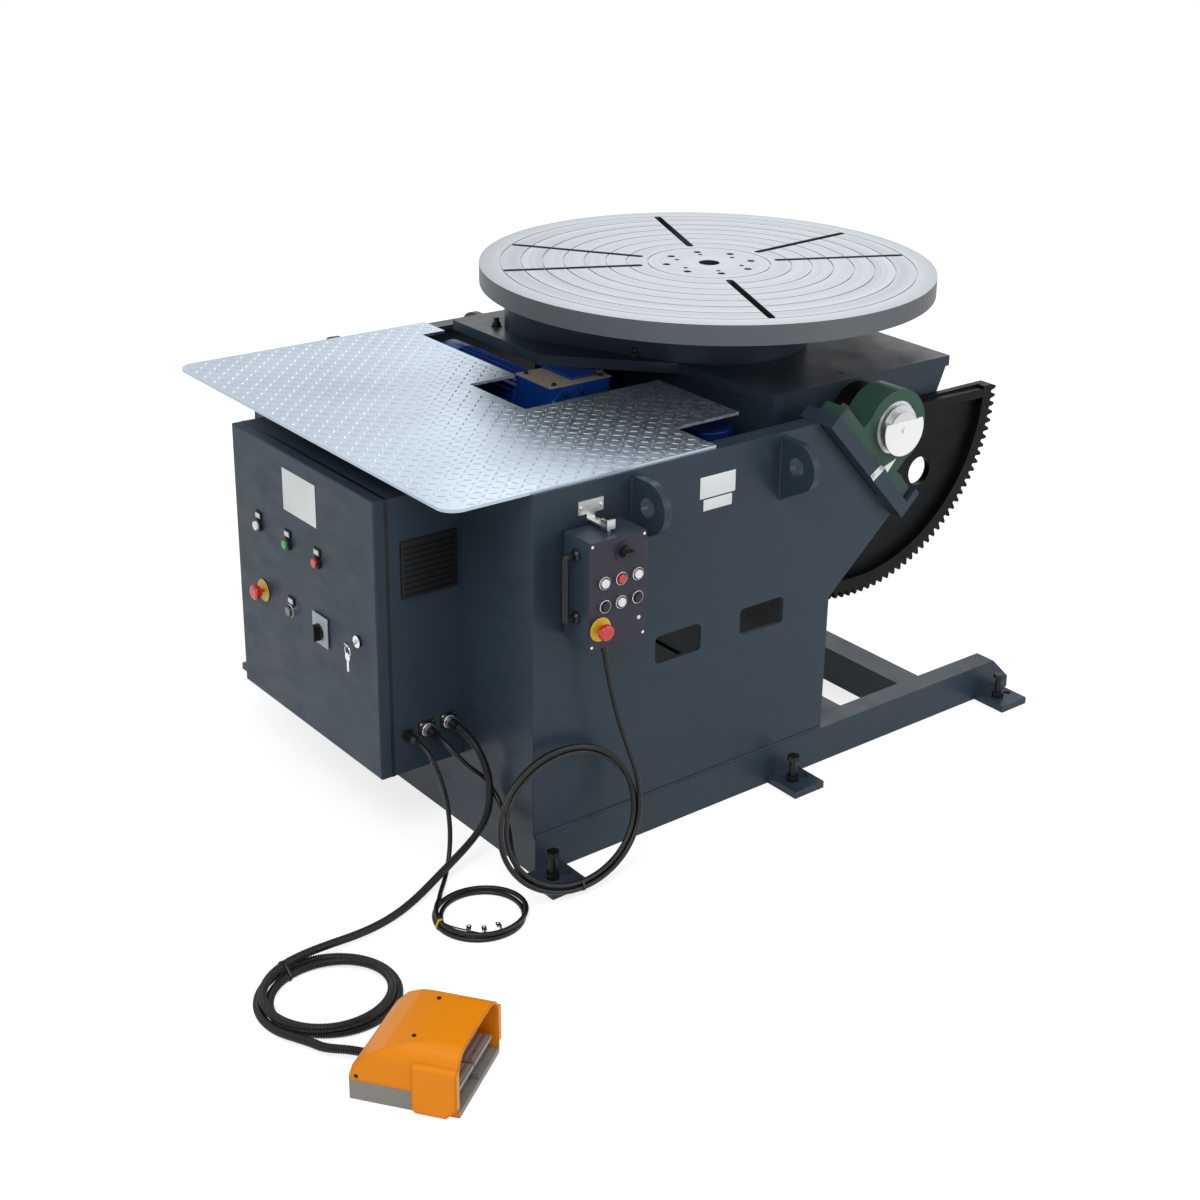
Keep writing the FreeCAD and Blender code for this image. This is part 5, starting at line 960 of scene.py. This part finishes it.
def pedal_details():
    """Screws in the foot switch's guard."""
    screws = Build()
    for side in (-1, 1):
        for spot, outward in (((0.1140, 0.104, 0.058), (side, 0, 0)), ((0.066, -0.005, 0.1462), (0, 0, 1))):
            screws.stack([(0.0046, -0.001), (0.0046, 0.0012), (0.0030, 0.0022)],
                         pedal_place(side * spot[0], spot[1], spot[2], outward), 14)
    screws.finish("guard_screws", "black_oxide", "root")


def details():
    """Everything that the CAD leaves to the looks."""
    foot_cord()
    power_cord()
    pendant_cord()
    tread_pattern()
    door_details()
    cabinet_details()
    pendant_details()
    head_details()
    sector_details()
    wall_plates()
    pedal_details()
    welds()


def main():
    """Dresses the frame's nodes."""
    finish_nodes()
    make_camera()
    details()
    make_stage()


# ------------------------------------------------------------------ camera, lights, floor
CAMERA_PLACE = Vector((-3.2458, -4.0669, 2.5957))
CAMERA_AZIMUTH = -41.95
CAMERA_ELEVATION = 20.32
CAMERA_ROLL = 2.25
CAMERA_LENS = 57.59
CAMERA_SHIFT = (-0.1254, -0.102)


def make_camera():
    """A fixed view of the near side and the cabinet's door."""
    camera = bpy.data.objects.new("camera", bpy.data.cameras.new("camera"))
    bpy.context.scene.collection.objects.link(camera)
    azimuth, elevation, roll = (math.radians(a) for a in (CAMERA_AZIMUTH, CAMERA_ELEVATION, CAMERA_ROLL))
    back = Vector((math.sin(azimuth) * math.cos(elevation), -math.cos(azimuth) * math.cos(elevation),
                   math.sin(elevation)))
    right = Vector((0, 0, 1)).cross(back).normalized()
    up = back.cross(right)
    rolled_right = right * math.cos(roll) + up * math.sin(roll)
    rolled_up = up * math.cos(roll) - right * math.sin(roll)
    turn = Matrix((rolled_right, rolled_up, back)).transposed()
    camera.matrix_world = Matrix.Translation(CAMERA_PLACE) @ turn.to_4x4()
    camera.data.sensor_width = 36
    camera.data.lens = CAMERA_LENS
    camera.data.shift_x, camera.data.shift_y = CAMERA_SHIFT
    camera.data.clip_end = 60
    bpy.context.scene.camera = camera


def area_light(name, place, target, size, power):
    """A rectangular lamp, in watts, turned towards a target."""
    data = bpy.data.lights.new(name, "AREA")
    data.shape = "RECTANGLE"
    data.size, data.size_y = size
    data.energy = power
    lamp = bpy.data.objects.new(name, data)
    lamp.location = place
    lamp.rotation_euler = (Vector(target) - Vector(place)).to_track_quat("-Z", "Y").to_euler()
    bpy.context.scene.collection.objects.link(lamp)


FLOOR_HALF = 14.0
FLOOR_DROP = 0.0005
FLOOR_LIT = 0.80
FLOOR_SHOWN = 0.48
FLOOR_GLOW = 0.76
WORLD_STRENGTH = 0.50


def shown_rays(tree):
    """1 for rays from the camera, off a shiny surface or through a clear one, else 0."""
    paths = tree.nodes.new("ShaderNodeLightPath")
    value = paths.outputs["Is Camera Ray"]
    for kind in ("Is Glossy Ray", "Is Transmission Ray"):
        most = tree.nodes.new("ShaderNodeMath")
        most.operation = "MAXIMUM"
        tree.links.new(value, most.inputs[0])
        tree.links.new(paths.outputs[kind], most.inputs[1])
        value = most.outputs["Value"]
    return value


def floor_material():
    """Plain pale grey to the object's light; to the camera, darker with a white glow, so shadows stay."""
    material = bpy.data.materials.new("floor")
    material.use_nodes = True
    tree = material.node_tree
    surface = tree.nodes["Principled BSDF"]
    surface.inputs["Roughness"].default_value = 0.9
    surface.inputs["Specular IOR Level"].default_value = 0.1
    shown = shown_rays(tree)
    glow = tree.nodes.new("ShaderNodeMath")
    glow.operation = "MULTIPLY"
    glow.inputs[1].default_value = FLOOR_GLOW
    tree.links.new(shown, glow.inputs[0])
    surface.inputs["Emission Color"].default_value = (1, 1, 1, 1)
    tree.links.new(glow.outputs["Value"], surface.inputs["Emission Strength"])
    tone = tree.nodes.new("ShaderNodeMix")
    tone.data_type = "RGBA"
    tree.links.new(shown, tone.inputs["Factor"])
    for side, grey in (("A", FLOOR_LIT), ("B", FLOOR_SHOWN)):
        tone.inputs[side].default_value = (grey, grey, grey, 1)
    tree.links.new(tone.outputs["Result"], surface.inputs["Base Color"])
    return material


def make_floor():
    corners = [(x * FLOOR_HALF, y * FLOOR_HALF, 0) for x, y in ((-1, -1), (1, -1), (1, 1), (-1, 1))]
    mesh_data = bpy.data.meshes.new("floor")
    mesh_data.from_pydata(corners, [], [(0, 1, 2, 3)])
    mesh_data.materials.append(floor_material())
    floor = bpy.data.objects.new("floor", mesh_data)
    floor.location.z = -FLOOR_DROP
    bpy.context.scene.collection.objects.link(floor)


def make_world():
    """Soft light on the object, and plain white where the background is seen."""
    world = bpy.data.worlds.new("studio")
    world.use_nodes = True
    tree = world.node_tree
    soft = tree.nodes["Background"]
    soft.inputs["Color"].default_value = (0.93, 0.96, 1.0, 1)
    soft.inputs["Strength"].default_value = WORLD_STRENGTH
    white = tree.nodes.new("ShaderNodeBackground")
    white.inputs["Color"].default_value = (1, 1, 1, 1)
    white.inputs["Strength"].default_value = 1.0
    mix = tree.nodes.new("ShaderNodeMixShader")
    tree.links.new(shown_rays(tree), mix.inputs["Fac"])
    tree.links.new(soft.outputs["Background"], mix.inputs[1])
    tree.links.new(white.outputs["Background"], mix.inputs[2])
    tree.links.new(mix.outputs["Shader"], tree.nodes["World Output"].inputs["Surface"])
    bpy.context.scene.world = world


def make_stage():
    bpy.context.scene.view_settings.view_transform = "Standard"
    make_floor()
    make_world()
    area_light("key", (-3.6, -2.6, 4.6), (-0.3, 0, 0.6), (2.6, 2.6), 105)
    area_light("fill", (2.6, -4.8, 2.3), (0, 0, 0.6), (3.0, 2.0), 66)
    area_light("rim", (3.2, 3.2, 4.2), (0.2, 0, 0.8), (3.0, 3.0), 60)


main()
